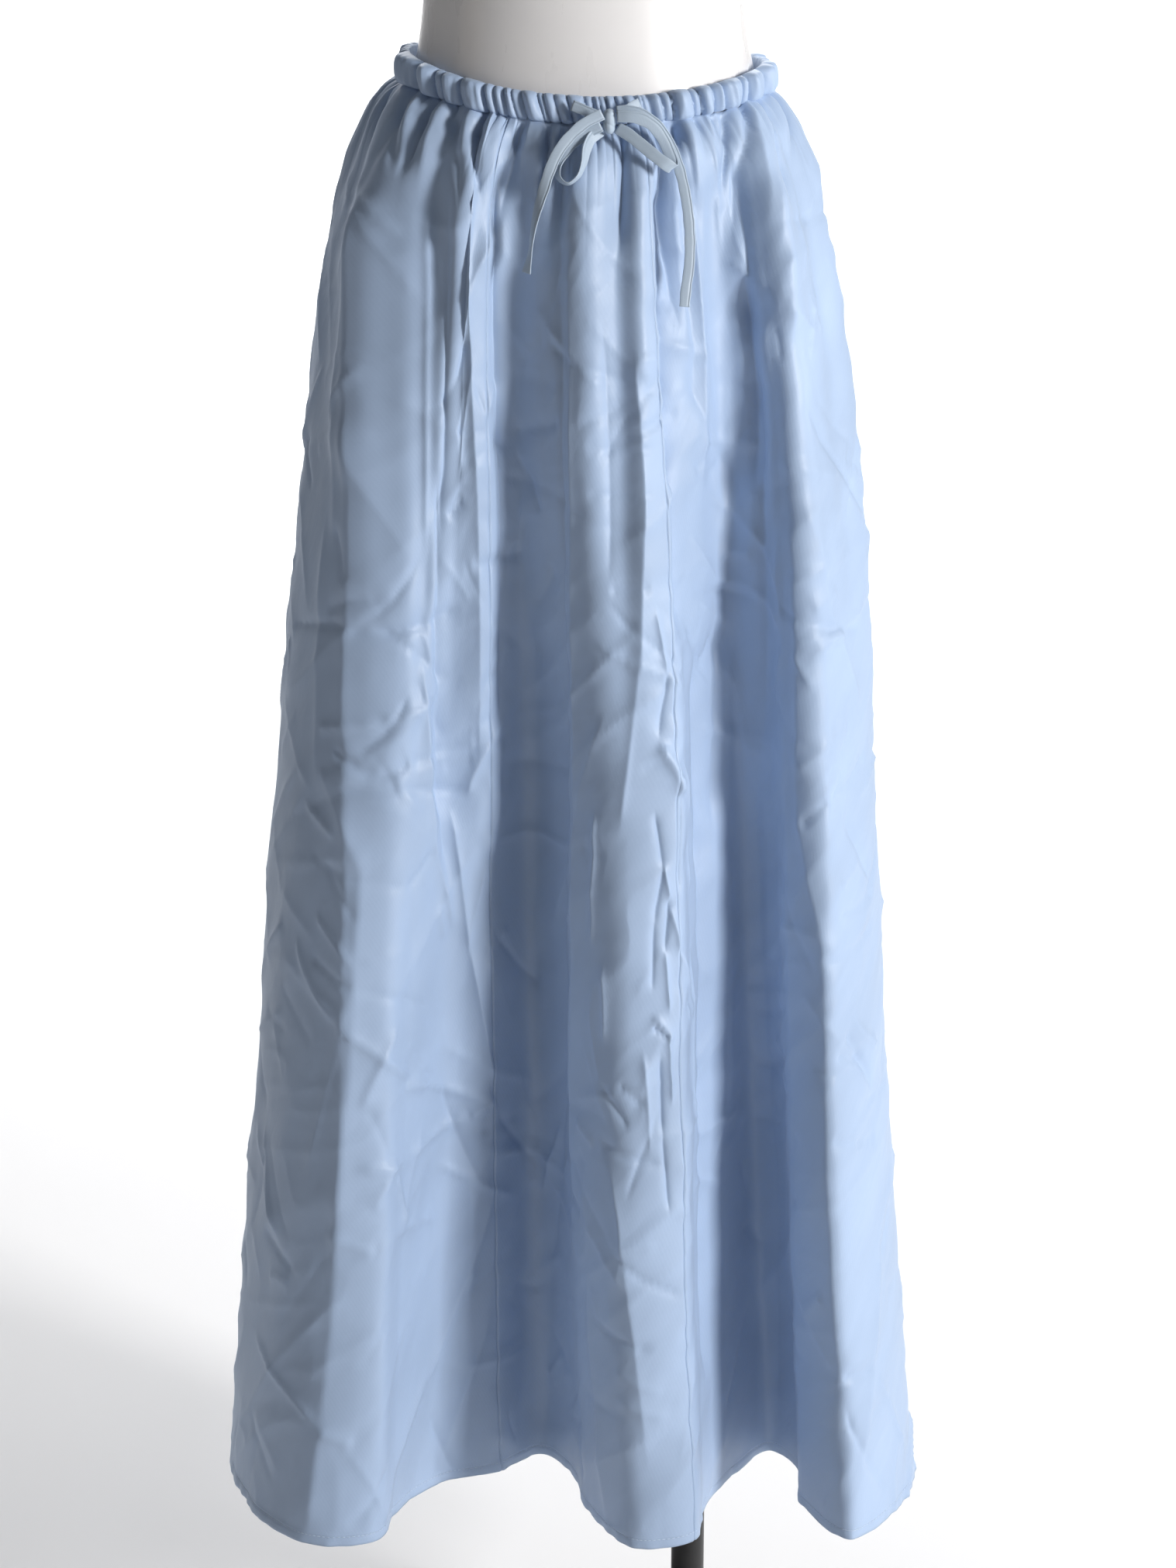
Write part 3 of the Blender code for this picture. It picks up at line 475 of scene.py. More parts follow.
# Broad folds and deep hollows of the front, which the hidden sides don't repeat either
BROAD_FOLDS = fold_rows(
    (3380, 70, 3440, 250, 1, 90, 180, 2),
    (3440, 220, 3430, 420, 1, 80, 180, 2),
    (3640, 56, 3735, 290, 2, 50, 70, 0),
    (3720, 50, 3860, 280, 2, -60, 55, -3),
    (3990, 40, 4160, 240, 2, 40, 50, 2),
    (4160, 210, 4177, 440, 1, 30, 60, 2),
    (4290, 36, 4317, 240, 1, -60, 55, -2),
    (4317, 210, 4300, 430, 1, -40, 60, -2),
    (5640, 44, 5550, 125, 1, -90, 75, 4),
    (5552, 105, 5495, 240, 1, -95, 80, 4),
    (5495, 215, 5480, 340, 1, -70, 85, 4),
    (5985, 60, 5835, 250, 1, 40, 60, 3),
    (6360, 36, 6257, 150, 1, -70, 80, -4),
    (6257, 110, 6142, 250, 1, -80, 80, -4),
    (6032, 230, 5932, 380, 1, -60, 80, -2),
    (5932, 350, 5825, 490, 1, -50, 80, -2),
    (6600, 46, 6572, 150, 1, 50, 90, 4),
    (4460, 340, 4425, 580, 1, -60, 220, 2),
    (4425, 560, 4385, 820, 1, -60, 220, 2),
    (4388, 800, 4345, 995, 1, -50, 220, 2),
    (5710, 360, 5712, 520, 1, -80, 100, 3),
    (5713, 490, 5665, 700, 1, -80, 100, 3),
    (5668, 670, 5600, 900, 1, -70, 100, 3),
    (3790, 240, 3895, 390, 1, -60, 80, 3),
    (3895, 370, 3940, 480, 1, -50, 80, 3),
    (3440, 400, 3450, 600, 1, 70, 180, 2),
    (3450, 570, 3440, 780, 1, 60, 180, 2),
    (5105, 130, 5085, 300, 1, -30, 60, 3),
)

# Creases from folding and packing, and the puckers beside the seams
CREASES = fold_rows(
    (2935, 369, 3490, 350, 1, -26, 37, 4),
    (3480, 351, 4025, 332, -1, -26, 37, 4),
    (3330, 346, 3565, 326, 1, -20, 30, 2),
    (3403, 437, 3535, 450, 0, -29, 37, 4),
    (3525, 450, 3690, 437, -1, -29, 37, 4),
    (3685, 437, 4190, 433, 1, -23, 37, 3),
    (3425, 461, 3632, 455, 0, -23, 30, 3),
    (3632, 455, 4110, 465, 1, -23, 30, 3),
    (4110, 465, 4304, 420, 3, 26, 37, 3),
    (3312, 425, 3553, 410, -1, 23, 30, 0),
    (3553, 410, 3782, 400, 1, 23, 30, 0),
    (3743, 366, 3890, 504, 2, 38, 60, 3),
    (3873, 494, 4041, 562, 1, 29, 53, 3),
    (3857, 390, 3985, 516, -1, -26, 45, 0),
    (4030, 146, 3748, 198, 2, -29, 45, 0),
    (3920, 209, 4243, 209, 0, -20, 26, 3),
    (4309, 176, 4222, 200, 1, 26, 30, 0),
    (4377, 212, 4765, 198, 1, -23, 37, 3),
    (4412, 225, 4555, 264, 1, -23, 37, 0),
    (3196, 577, 3448, 623, -3, 26, 37, 3),
    (3442, 623, 3773, 664, -3, 29, 37, 3),
    (3768, 664, 4250, 698, -2, 29, 37, 3),
    (4250, 698, 4133, 707, 1, 26, 34, 0),
    (4133, 707, 3785, 722, 1, 26, 37, 0),
    (3785, 722, 3498, 722, 2, 23, 37, 0),
    (3302, 583, 3480, 597, 1, -20, 30, 3),
    (3480, 597, 3900, 617, 2, -20, 34, 3),
    (4010, 479, 4132, 585, 2, 29, 45, 2),
    (4130, 578, 4247, 688, 1, 29, 45, 2),
    (4264, 571, 4442, 619, 1, -20, 34, 0),
    (4265, 710, 4422, 758, 1, -23, 34, 0),
    (3027, 794, 3248, 810, 1, -20, 37, 0),
    (3476, 597, 3307, 730, 2, 17, 37, 0),
    (5000, 212, 5280, 213, 1, -20, 26, 4),
    (4993, 244, 5270, 243, 1, -17, 26, 4),
    (5090, 307, 5244, 306, 1, -20, 26, 4),
    (5222, 153, 5318, 152, 0, 20, 26, 0),
    (5057, 172, 5287, 173, 1, -14, 26, 3),
    (4995, 699, 5260, 712, 1, -26, 34, 4),
    (5007, 656, 5132, 683, 1, -20, 30, 0),
    (5095, 653, 5192, 667, 1, -20, 30, 0),
    (4985, 463, 4970, 520, 1, 26, 30, 0),
    (4970, 515, 4957, 556, 1, 23, 30, 0),
    (5025, 570, 5022, 625, 1, 20, 30, 0),
    (5227, 605, 5290, 622, 1, 38, 30, 0),
    (5255, 415, 5345, 449, 2, 41, 37, 0),
    (5415, 432, 5513, 527, 1, 26, 37, 0),
    (5530, 569, 5520, 711, 1, 26, 37, 0),
    (5192, 629, 5210, 700, 1, 23, 30, 0),
    (5690, 320, 6112, 330, 1, -20, 34, 4),
    (5745, 328, 5985, 348, 1, 14, 30, 0),
    (6363, 332, 7015, 362, -1, -23, 34, 4),
    (6977, 448, 6675, 466, 2, -23, 37, 0),
    (6675, 466, 6527, 484, -1, -23, 37, 0),
    (6783, 479, 6977, 538, -2, -23, 37, 0),
    (6752, 631, 6923, 682, 3, -35, 37, 0),
    (6800, 626, 6975, 655, -2, 32, 37, 0),
    (6700, 647, 6873, 659, 1, -26, 30, 0),
    (6665, 708, 6793, 714, 1, -20, 34, 3),
    (6793, 714, 6929, 722, 1, -20, 34, 3),
    (6668, 879, 6838, 884, 1, -20, 30, 3),
    (6467, 142, 6487, 166, 1, -20, 37, 0),
    (3375, 287, 3438, 322, 1, -20, 34, 0),
    (5262, 413, 5342, 436, 1, 30, 26, 0),
    (5342, 436, 5365, 449, 0, 30, 26, 3),
    (5350, 448, 5340, 520, 0, -18, 18, 0),
    (5242, 461, 5267, 497, 0, -24, 20, 0),
    (5267, 497, 5235, 537, 0, -24, 20, 0),
    (5235, 537, 5225, 583, 0, -22, 20, 0),
    (5267, 497, 5287, 521, 0, 24, 20, 0),
    (5287, 521, 5267, 558, 0, -22, 20, 0),
    (5267, 558, 5280, 600, 0, 24, 20, 0),
    (5287, 529, 5325, 560, 1, 26, 24, 2),
    (5325, 560, 5517, 618, 1, 26, 30, 2),
    (5225, 610, 5275, 619, 0, -32, 22, 3),
    (5275, 619, 5287, 667, 0, 26, 22, 0),
    (5247, 632, 5252, 688, 0, -26, 20, 0),
    (5252, 688, 5267, 744, 0, -22, 20, 0),
    (5257, 321, 5295, 364, 0, 22, 22, 0),
    (5295, 364, 5257, 406, 0, -22, 22, 0),
)

# Drawstring: flat bands from the knot, each with its width and the rows of its path.
# Distances are to the right of the centre, forward, and down from the casing's top.
# Lean turns the band's width from +X towards +Z; tilt turns it towards the viewer.
BAND_THICK = 0.001
BAND_STEP = 0.0012
BANDS = {
    "drawstring_exit_left": (0.0070, (
        # across, out, down, lean, tilt
        (-0.0103, 0.1017, 0.0174, 70, 0),
        (-0.0013, 0.1039, 0.0208, 68, 0),
        (0.0085, 0.1052, 0.0252, 66, 0),
    )),
    "drawstring_exit_right": (0.0070, (
        (0.0336, 0.0984, 0.0164, -67, 0),
        (0.0274, 0.1022, 0.0193, -61, 0),
        (0.0199, 0.1057, 0.0246, -57, 0),
    )),
    "drawstring_tail_left": (0.0074, (
        (0.0094, 0.1110, 0.0222, -59, 0),
        (-0.0018, 0.1122, 0.0279, -54, 0),
        (-0.0118, 0.1138, 0.0364, -44, 0),
        (-0.0198, 0.1169, 0.0467, -31, 5),
        (-0.0249, 0.1196, 0.0578, -21, 10),
        (-0.0289, 0.1208, 0.0702, -17, 25),
        (-0.0333, 0.1215, 0.0846, -14, 50),
        (-0.0361, 0.1222, 0.0980, -10, 68),
        (-0.0377, 0.1226, 0.1100, -9, 72),
        (-0.0403, 0.1221, 0.1233, -11, 40),
    )),
    "drawstring_loop_left": (0.0074, (
        (0.0086, 0.1086, 0.0301, -65, 0),
        (0.0008, 0.1078, 0.0339, -62, 0),
        (-0.0078, 0.1092, 0.0391, -52, 5),
        (-0.0154, 0.1122, 0.0467, -38, 20),
        (-0.0199, 0.1158, 0.0548, -11, 45),
        (-0.0184, 0.1202, 0.0623, 34, 66),
        (-0.0128, 0.1237, 0.0653, 95, 72),
        (-0.0068, 0.1239, 0.0613, 141, 70),
        (-0.0028, 0.1205, 0.0527, 161, 60),
        (-0.0008, 0.1145, 0.0440, 160, 40),
        (0.0028, 0.1085, 0.0373, 137, 15),
        (0.0086, 0.1050, 0.0337, 121, 0),
    )),
    "drawstring_loop_right": (0.0080, (
        (0.0188, 0.1104, 0.0235, 91, 0),
        (0.0259, 0.1120, 0.0235, 85, 0),
        (0.0339, 0.1122, 0.0249, 70, 0),
        (0.0420, 0.1114, 0.0294, 48, 0),
        (0.0487, 0.1096, 0.0381, 34, 0),
        (0.0527, 0.1096, 0.0467, 28, 0),
        (0.0552, 0.1119, 0.0542, 32, 0),
        (0.0551, 0.1150, 0.0564, 38, 0),
        (0.0515, 0.1171, 0.0542, 41, 0),
        (0.0440, 0.1167, 0.0487, 50, 0),
        (0.0350, 0.1142, 0.0417, 52, 0),
        (0.0264, 0.1112, 0.0353, 56, 0),
        (0.0190, 0.1082, 0.0312, 60, 0),
    )),
    "drawstring_tail_right": (0.0070, (
        (0.0185, 0.1073, 0.0208, 93, 0),
        (0.0279, 0.1080, 0.0203, 82, 0),
        (0.0365, 0.1074, 0.0233, 62, 0),
        (0.0445, 0.1064, 0.0293, 45, 0),
        (0.0513, 0.1052, 0.0384, 31, 0),
        (0.0573, 0.1062, 0.0509, 21, 0),
        (0.0619, 0.1082, 0.0661, 13, 0),
        (0.0651, 0.1107, 0.0833, 8, 0),
        (0.0667, 0.1136, 0.1006, 2, 0),
        (0.0662, 0.1172, 0.1203, -4, 0),
        (0.0642, 0.1210, 0.1344, -7, 0),
        (0.0632, 0.1238, 0.1452, -5, 0),
    )),
}
# Section of a band: across from -1 to 1, and its thickness there from -1 to 1
BAND_SECTION = (
    (1.00, -0.55),
    (1.00, 0.55),
    (0.90, 0.95),
    (0.72, 0.85),
    (0.66, 0.45),
    (0.60, 0.85),
    (0.20, 1.00),
    (-0.40, 0.90),
    (-0.90, 0.95),
    (-1.00, 0.55),
    (-1.00, -0.55),
    (-0.90, -0.95),
    (-0.30, -0.85),
    (0.30, -0.90),
    (0.90, -0.95),
)
KNOT = (0.0138, 0.1066, 0.0273)
KNOT_HALF = (0.0042, 0.0049, 0.0082)
KNOT_ROWS = 40
KNOT_SIDES = 64

# Camera: place, downward pitch, and focal length for a 36 mm long side
CAMERA_PLACE = (0.0, -2.267, 1.459)
CAMERA_PITCH = 17.0
CAMERA_LENS = 75.2
CAMERA_SENSOR = 36.0

# Stage: half width of the floor, its far edge, the bend's radius, the backdrop's top, and
# how far the floor lies below the base
STAGE_HALF = 9.0
STAGE_FAR = 4.0
STAGE_BEND = 1.6
STAGE_TOP = 6.0
STAGE_BELOW = 0.0004
# Lamps: name, place, aim, size and colour; the stage's settings hold their powers
LAMPS = (
    ("key", (2.5, -1.9, 1.8), (0, 0, 0.9), (0.5, 0.9), (1.0, 0.98, 0.95)),
    ("rim", (3.1, 0.5, 1.5), (0, 0, 0.8), (0.7, 1.4), (1.0, 0.98, 0.95)),
    ("fill", (-2.7, -0.9, 1.2), (0, 0, 0.8), (1.0, 1.4), (1.0, 0.86, 0.70)),
    ("floor", (0.0, 2.3, 2.7), (0, 2.1, 0.0), (2.4, 1.4), (1.0, 1.0, 1.0)),
    ("wall", (0.0, 3.6, 1.75), (0, 5.6, 0.55), (2.6, 0.4), (1.0, 1.0, 1.0)),
)


def smooth(x, knots, values):
    """A cubic curve through a table's points, with slopes taken from their neighbours."""
    knots = np.asarray(knots, float)
    values = np.asarray(values, float)
    slopes = np.gradient(values, knots)
    x = np.clip(x, knots[0], knots[-1])
    i = np.clip(np.searchsorted(knots, x, side="right") - 1, 0, len(knots) - 2)
    span = knots[i + 1] - knots[i]
    f = (x - knots[i]) / span
    start = (1 + 2 * f) * (1 - f) ** 2 * values[i] + f * (1 - f) ** 2 * span * slopes[i]
    end = f * f * (3 - 2 * f) * values[i + 1] + f * f * (f - 1) * span * slopes[i + 1]
    return start + end


def table_at(table, x, *columns):
    """Columns of a table at x, where its first column is x's."""
    knots = [row[0] for row in table]
    return [smooth(x, knots, [row[k] for row in table]) for k in columns]


def around_and_back(values, turn):
    """A closed table with some rows repeated at each end, moved by one turn."""
    values = np.asarray(values, float)
    return np.concatenate([values[-OVERLAP:] - turn, values, values[:OVERLAP] + turn])


def fold_table():
    """The folds as closed columns: around, casing degrees, hem x, hem y and power."""
    degrees, x, y, power = (np.array([row[k] for row in FOLDS]) for k in (1, 2, 3, 4))
    step = np.hypot(np.roll(x, -1) - x, np.roll(y, -1) - y)
    place = np.concatenate([[0.0], np.cumsum(step)[:-1]]) / step.sum()
    turns = (1.0, 360.0, 0.0, 0.0, 0.0)
    return [around_and_back(*pair) for pair in zip((place, degrees, x, y, power), turns)]


FOLD_AROUND, FOLD_DEGREES, FOLD_X, FOLD_Y, FOLD_POWER = fold_table()
SEAMS = [FOLD_AROUND[i + OVERLAP] for i, row in enumerate(FOLDS) if "seam" in row[0]]


def casing_degrees(around):
    """Where the lengthwise thread at this place starts on the casing."""
    return smooth(np.mod(around, 1.0), FOLD_AROUND, FOLD_DEGREES) + 360 * np.floor(around)


def casing_top(degrees):
    """Height of the casing's upper edge: level, with a dip in front and a rise at the hips."""
    turn = np.radians(degrees)
    dip = CASING_FRONT_DIP * np.cos(turn) + CASING_LEAN * np.sin(turn)
    return CASING_TOP - dip - CASING_HIP_RISE * np.cos(2 * turn)


def seam_height(degrees):
    """Height of the line where the cloth leaves the casing."""
    return casing_top(degrees) - CASING_HEIGHT - GAP


def hem_length():
    """Length of the hem round all the folds."""
    dense = np.linspace(0, 1, 2001)
    x, y = (smooth(dense, FOLD_AROUND, column) for column in (FOLD_X, FOLD_Y))
    return float(np.hypot(np.diff(x), np.diff(y)).sum())


HEM_ROUND = hem_length()


def breadth(drop):
    """Metres of cloth round the skirt at this drop."""
    return HEM_ROUND * (WAIST_SHARE + FLARE_SHARE * drop)


def outline(degrees, below):
    """The unfolded cloth: an ellipse whose size follows the distance below the casing."""
    wide, deep, x, y = table_at(OUTLINE, below, 1, 2, 3, 4)
    turn = np.radians(degrees)
    return x + wide * np.sin(turn), y - deep * np.cos(turn)


def cloth(around, drop):
    """The open cloth: the outline, carried towards each fold's place on the hem by a share
    of the way, the drop raised to the fold's power."""
    degrees = casing_degrees(around)
    top = seam_height(degrees)
    below = (top - HEM_HEIGHT) * drop
    x, y = outline(degrees, below)
    last_x, last_y = outline(degrees, top - HEM_HEIGHT)
    place = np.mod(around, 1.0)
    share = drop ** smooth(place, FOLD_AROUND, FOLD_POWER)
    x = x + (smooth(place, FOLD_AROUND, FOLD_X) - last_x) * share
    y = y + (smooth(place, FOLD_AROUND, FOLD_Y) - last_y) * share
    return np.stack([x, y, top - below], axis=-1)


def outward(around, drop):
    """Direction out of the cloth: the hemwise direction crossed with the lengthwise one."""
    step = 2e-4
    low, high = np.clip(drop - step, 0, 1), np.clip(drop + step, 0, 1)
    across = cloth(around + step, drop) - cloth(around - step, drop)
    down = cloth(around, high) - cloth(around, low)
    out = np.cross(down, across)
    return out / np.linalg.norm(out, axis=-1, keepdims=True)


def mean_radius(below):
    """Mean radius of the unfolded cloth at this distance below the casing."""
    wide, deep = table_at(OUTLINE, below, 1, 2)
    return np.sqrt(wide * deep)


def hump(degrees, radius, reach):
    """A smooth hump across a lengthwise line, from the degrees counted from that line: e to
    minus the square of distance over reach."""
    off = np.mod(degrees + 180.0, 360.0) - 180.0
    return np.exp(-((np.radians(off) * radius / reach) ** 2))


def pleat_depth(degrees, below):
    """How far the pleats sink the cloth: each is a soft trough, a quarter as deep at the
    casing as an eighth of the way down, which widens and fades as it runs out."""
    radius = mean_radius(below)
    sunk = np.zeros(degrees.shape)
    for start, lean, depth, width, length in PLEATS:
        run = np.clip(below / length, 0, 1)
        reach = width * (0.32 + 0.5 * run)
        fade = np.minimum(1.0, 0.25 + 6 * run) * (1 - run) ** 1.2
        sunk += depth * fade * hump(degrees - start - lean * run, radius, reach)
    return sunk


def swell_height(degrees, below):
    """How far the long folds lift the cloth: each rises in the first eighth of its length
    and fades with the square of its run."""
    radius = mean_radius(below)
    lifted = np.zeros(degrees.shape)
    for start, lean, height, width, length in SWELLS:
        run = np.clip(below / length, 0, 1)
        fade = np.minimum(1.0, 8 * run) * (1 - run**2)
        lifted += height * fade * hump(degrees - start - lean * run**0.6, radius, width)
    return lifted


def ruffle_table():
    """Pinches round the casing in degrees, and of the ruffle after each pinch its height,
    its reach down the cloth and how far it leans over its neighbour."""
    random = np.random.default_rng(RUFFLE_SEED)
    gap = 360.0 - (PINCHES[-1] - PINCHES[0])
    share = np.cumsum(0.6 + 0.9 * random.random(HIDDEN_RUFFLES))
    hidden = PINCHES[-1] + gap * share[:-1] / share[-1]
    edges = np.concatenate([PINCHES, hidden, [PINCHES[0] + 360.0]])
    width = np.diff(edges)
    height = np.clip(width / 5.0, 0.35, 1.25) * (0.75 + 0.4 * random.random(len(width)))
    reach = 0.010 + 0.030 * random.random(len(width)) ** 2
    lean = 2.0 ** random.uniform(-0.8, 0.8, len(width))
    return edges, height, reach, lean


RUFFLE_EDGES, RUFFLE_HEIGHT, RUFFLE_REACH, RUFFLE_LEAN = ruffle_table()


def ruffle(degrees):
    """Puff of the ruffle here, from 0 in its pinches to its own height, and its reach: half a
    sine wave made rounder, its top pushed to one side."""
    turn = np.mod(degrees - PINCHES[0], 360.0) + PINCHES[0]
    k = np.searchsorted(RUFFLE_EDGES, turn, side="right") - 1
    k = np.clip(k, 0, len(RUFFLE_HEIGHT) - 1)
    start, end = RUFFLE_EDGES[k], RUFFLE_EDGES[k + 1]
    f = np.clip((turn - start) / (end - start), 0, 1)
    puff = np.sin(np.pi * f ** RUFFLE_LEAN[k]) ** 0.48
    return puff * RUFFLE_HEIGHT[k], RUFFLE_REACH[k]


def lattice_noise(x, y, seed):
    """Soft noise from 0 to 1: random values on a grid of unit squares, eased between."""
    values = np.random.default_rng(seed).random((NOISE_GRID, NOISE_GRID))
    i, j = np.floor(x).astype(int), np.floor(y).astype(int)
    f, g = x - i, y - j
    f, g = f * f * (3 - 2 * f), g * g * (3 - 2 * g)
    i, j, i_next, j_next = (k % NOISE_GRID for k in (i, j, i + 1, j + 1))
    low = values[i, j] * (1 - f) + values[i_next, j] * f
    high = values[i, j_next] * (1 - f) + values[i_next, j_next] * f
    return low * (1 - g) + high * g


def crinkle(around, drop):
    """Uneven swell of the cloth: soft lengthwise noise, and sharp low ridges slantwise,
    each where another noise lets it through."""
    x, y = around * breadth(drop), drop * CLOTH_LENGTH
    broad = lattice_noise(x / BROAD_GRAIN[0], y / BROAD_GRAIN[1], 3)
    fine = lattice_noise(x / FINE_GRAIN[0], y / FINE_GRAIN[1], 4)
    height = CRINKLE_HIGH * (broad + fine * 0.5 - 0.75)
    for seed, angle, size, depth in RIDGES:
        u = x * math.cos(angle) + y * math.sin(angle)
        v = y * math.cos(angle) - x * math.sin(angle)
        ridge = 1 - np.abs(2 * lattice_noise(u / size, v / (2.6 * size), seed) - 1)
        let = 3 * lattice_noise(u / (4 * size), v / (4 * size), seed + 20) - 1.2
        height += depth * np.clip(let, 0, 1) * (ridge**3 - 0.25)
    return height


def stretch(around, drop):
    """Length of the cloth that one round of around would have at this place's spacing."""
    step = 2e-3
    along = cloth(around + step, drop) - cloth(around - step, drop)
    return np.linalg.norm(along, axis=-1) / (2 * step)


def fold_height(rows, around, drop, fade=END_FADE):
    """Sum of the folds: each a ridge along a bowed line, sharp on its crest, falling off
    to both sides, quicker on the steep one, and eased to nothing at its ends."""
    total = np.zeros(around.shape)
    middle = np.array([((row[0] + row[2]) / 2, (row[1] + row[3]) / 2) for row in rows])
    scales = stretch(middle[:, 0], np.clip(middle[:, 1], 0.0, 1.0))
    for (a0, t0, a1, t1, bow, height, width, lean), scale in zip(rows, scales):
        start = np.array([a0 * scale, t0 * CLOTH_LENGTH])
        line = np.array([a1 * scale, t1 * CLOTH_LENGTH]) - start
        length = float(np.hypot(*line))
        margin = 6 * width + abs(bow)
        beside = np.abs(around - (a0 + a1) / 2) * scale < abs(line[0]) / 2 + margin
        level = np.abs(drop - (t0 + t1) / 2) * CLOTH_LENGTH < abs(line[1]) / 2 + margin
        near = beside & level
        if not near.any():
            continue
        x = around[near] * scale - start[0]
        y = drop[near] * CLOTH_LENGTH - start[1]
        run = (x * line[0] + y * line[1]) / length**2
        off = (x * line[1] - y * line[0]) / length
        off = off - 4 * bow * run * (1 - run)
        reach = width * (1 + LEAN_SHARE * lean * np.sign(off))
        crest = np.exp(CREST_ROUND - np.sqrt((off / reach) ** 2 + CREST_ROUND**2))
        begun = np.clip((run + PAST_ENDS) / END_FADE, 0, 1)
        ends = begun * np.clip((1 + PAST_ENDS - run) / fade, 0, 1)
        total[near] += height * crest * ends * ends * (3 - 2 * ends)
    return total


def back_creases():
    """Creases of the hidden sides: the front's, turned about and shifted, each a little
    changed. Those that start at the casing don't slip down."""
    random = np.random.default_rng(BACK_SEED)
    rows = []
    for a0, t0, a1, t1, bow, height, width, lean in CREASES + LONG_FOLDS + GATHERS:
        shift, slip, grow = random.uniform(BACK_LEAST, BACK_MOST)
        slip = 0.0 if t0 < 0.0 else slip
        start = (TURNED_ABOUT - a0 + shift, t0 + slip)
        end = (TURNED_ABOUT - a1 + shift, t1 + slip)
        rows.append((*start, *end, -bow, height * grow, width, -lean))
    return rows


def small_creases():
    """Fine straight creases all round, of every slant, seeded: each 20 to 90 mm long."""
    random = np.random.default_rng(SMALL_SEED)
    draws = random.uniform(SMALL_LEAST, SMALL_MOST, (SMALL_CREASES, len(SMALL_MOST)))
    rows = []
    for place, drop, length, slant, height, width in draws:
        across = length * math.cos(slant) / float(breadth(drop)) / 2
        down = length * math.sin(slant) / CLOTH_LENGTH / 2
        size = math.copysign(SMALL_HIGH[0] + SMALL_HIGH[1] * height**2, height)
        start = (place - across, drop - down)
        end = (place + across, drop + down)
        rows.append((*start, *end, 0.03 * length * height, size, width, slant / 3))
    return rows


def seam_dips(around, drop):
    """The gores' seams: a narrow groove, and puckers that ripple across it and die out."""
    total = np.zeros(around.shape)
    down = drop * CLOTH_LENGTH
    for k, seam in enumerate(SEAMS):
        off = np.abs(np.mod(around - seam + 0.5, 1.0) - 0.5) * breadth(drop)
        ripple = lattice_noise(down / 0.011, off / 0.014 + 7 * k, 40 + k) - 0.5
        broad = lattice_noise(down / 0.030, 0 * off + k, 60 + k)
        total -= GROOVE[0] * np.exp(-((off / GROOVE[1]) ** 2))
        pucker = PUCKER[0] * ripple * (0.2 + broad) * np.exp(-off / PUCKER[1])
        total += pucker * np.clip(drop * 12, 0, 1)
    return total


def hem_relief(around, drop):
    """The turned-up hem: a second thickness below its edge, a dent along the stitches, and
    small puckers that fade upwards."""
    up = (1 - drop) * CLOTH_LENGTH
    double = HEM_EDGE / (1 + np.exp((up - HEM_FOLD) / 0.0004))
    dent = -HEM_EDGE * np.exp(-(((up - HEM_FOLD + STITCH_INSIDE) / 0.0007) ** 2))
    pucker = lattice_noise(around * HEM_ROUND / 0.007, up / 0.02, 71) - 0.5
    return double + dent + 0.0014 * pucker * np.exp(-up / 0.012)


def cloth_relief(around, drop):
    """Distance of the finished cloth out from the open cloth: ruffles' ends, pleats, folds,
    creases and crinkles, held above the deepest hollow allowed, then seams and hem."""
    degrees = casing_degrees(around)
    below = (seam_height(degrees) - HEM_HEIGHT) * drop
    puff, reach = ruffle(degrees)
    gather = GATHER_HIGH * puff * np.exp(-((below / reach) ** 1.1)) * (1 - np.exp(-below / 0.0022))
    settle = SETTLE * np.exp(-below / SETTLE_RUN)
    free = np.clip(below / FREE_RUN, 0, 1)
    relief = gather - settle - pleat_depth(degrees, below) + swell_height(degrees, below)
    wrapped = np.where(around < COUNTED_ON, around + 1.0, around)
    front_folds = LEFT_FOLDS + LONG_FOLDS + BROAD_FOLDS + CREASES
    relief += fold_height(GATHERS, around, drop, GATHER_FADE)
    relief += free * fold_height(front_folds, around, drop)
    hidden = np.abs(wrapped - 1.0) < HIDDEN_REACH
    relief += hidden * fold_height(back_creases(), wrapped, drop)
    relief += free * fold_height(small_creases(), around % 1.0, drop)
    relief += free * crinkle(around, drop)
    deeper = np.where(hidden, DEEPER_BEHIND, DEEPER_IN_FRONT)
    relief = np.maximum(relief, -DEEPEST - deeper * below)
    return relief + seam_dips(around, drop) + hem_relief(around, drop)


def cloth_drops():
    """Rows of the gores: close below the casing and at the hem, 3 mm apart between. A few
    are left out, so that the inner grid's steps come out even."""
    top = np.linspace(0.0, 0.020, 11)
    middle = np.arange(0.0230, CLOTH_LENGTH - 0.0140, 0.0030)
    up = np.array([0.0115, 0.0095, 0.0084, 0.0076, 0.0066, 0.0056, 0.0036, 0.0016, 0.0])
    rows = np.concatenate([top, middle, CLOTH_LENGTH - up]) / CLOTH_LENGTH
    spare = (len(rows) - 1) % INNER_STEP
    return np.delete(rows, 40 + 3 * np.arange(spare))


def lowest_near(field, step):
    """Every step-th value of a grid, replaced by the lowest within a step of it."""
    padded = np.pad(field, step, mode="edge")
    rows, columns = field.shape
    low = field
    for i in range(2 * step + 1):
        for j in range(2 * step + 1):
            low = np.minimum(low, padded[i : i + rows, j : j + columns])
    return low[::step, ::step]


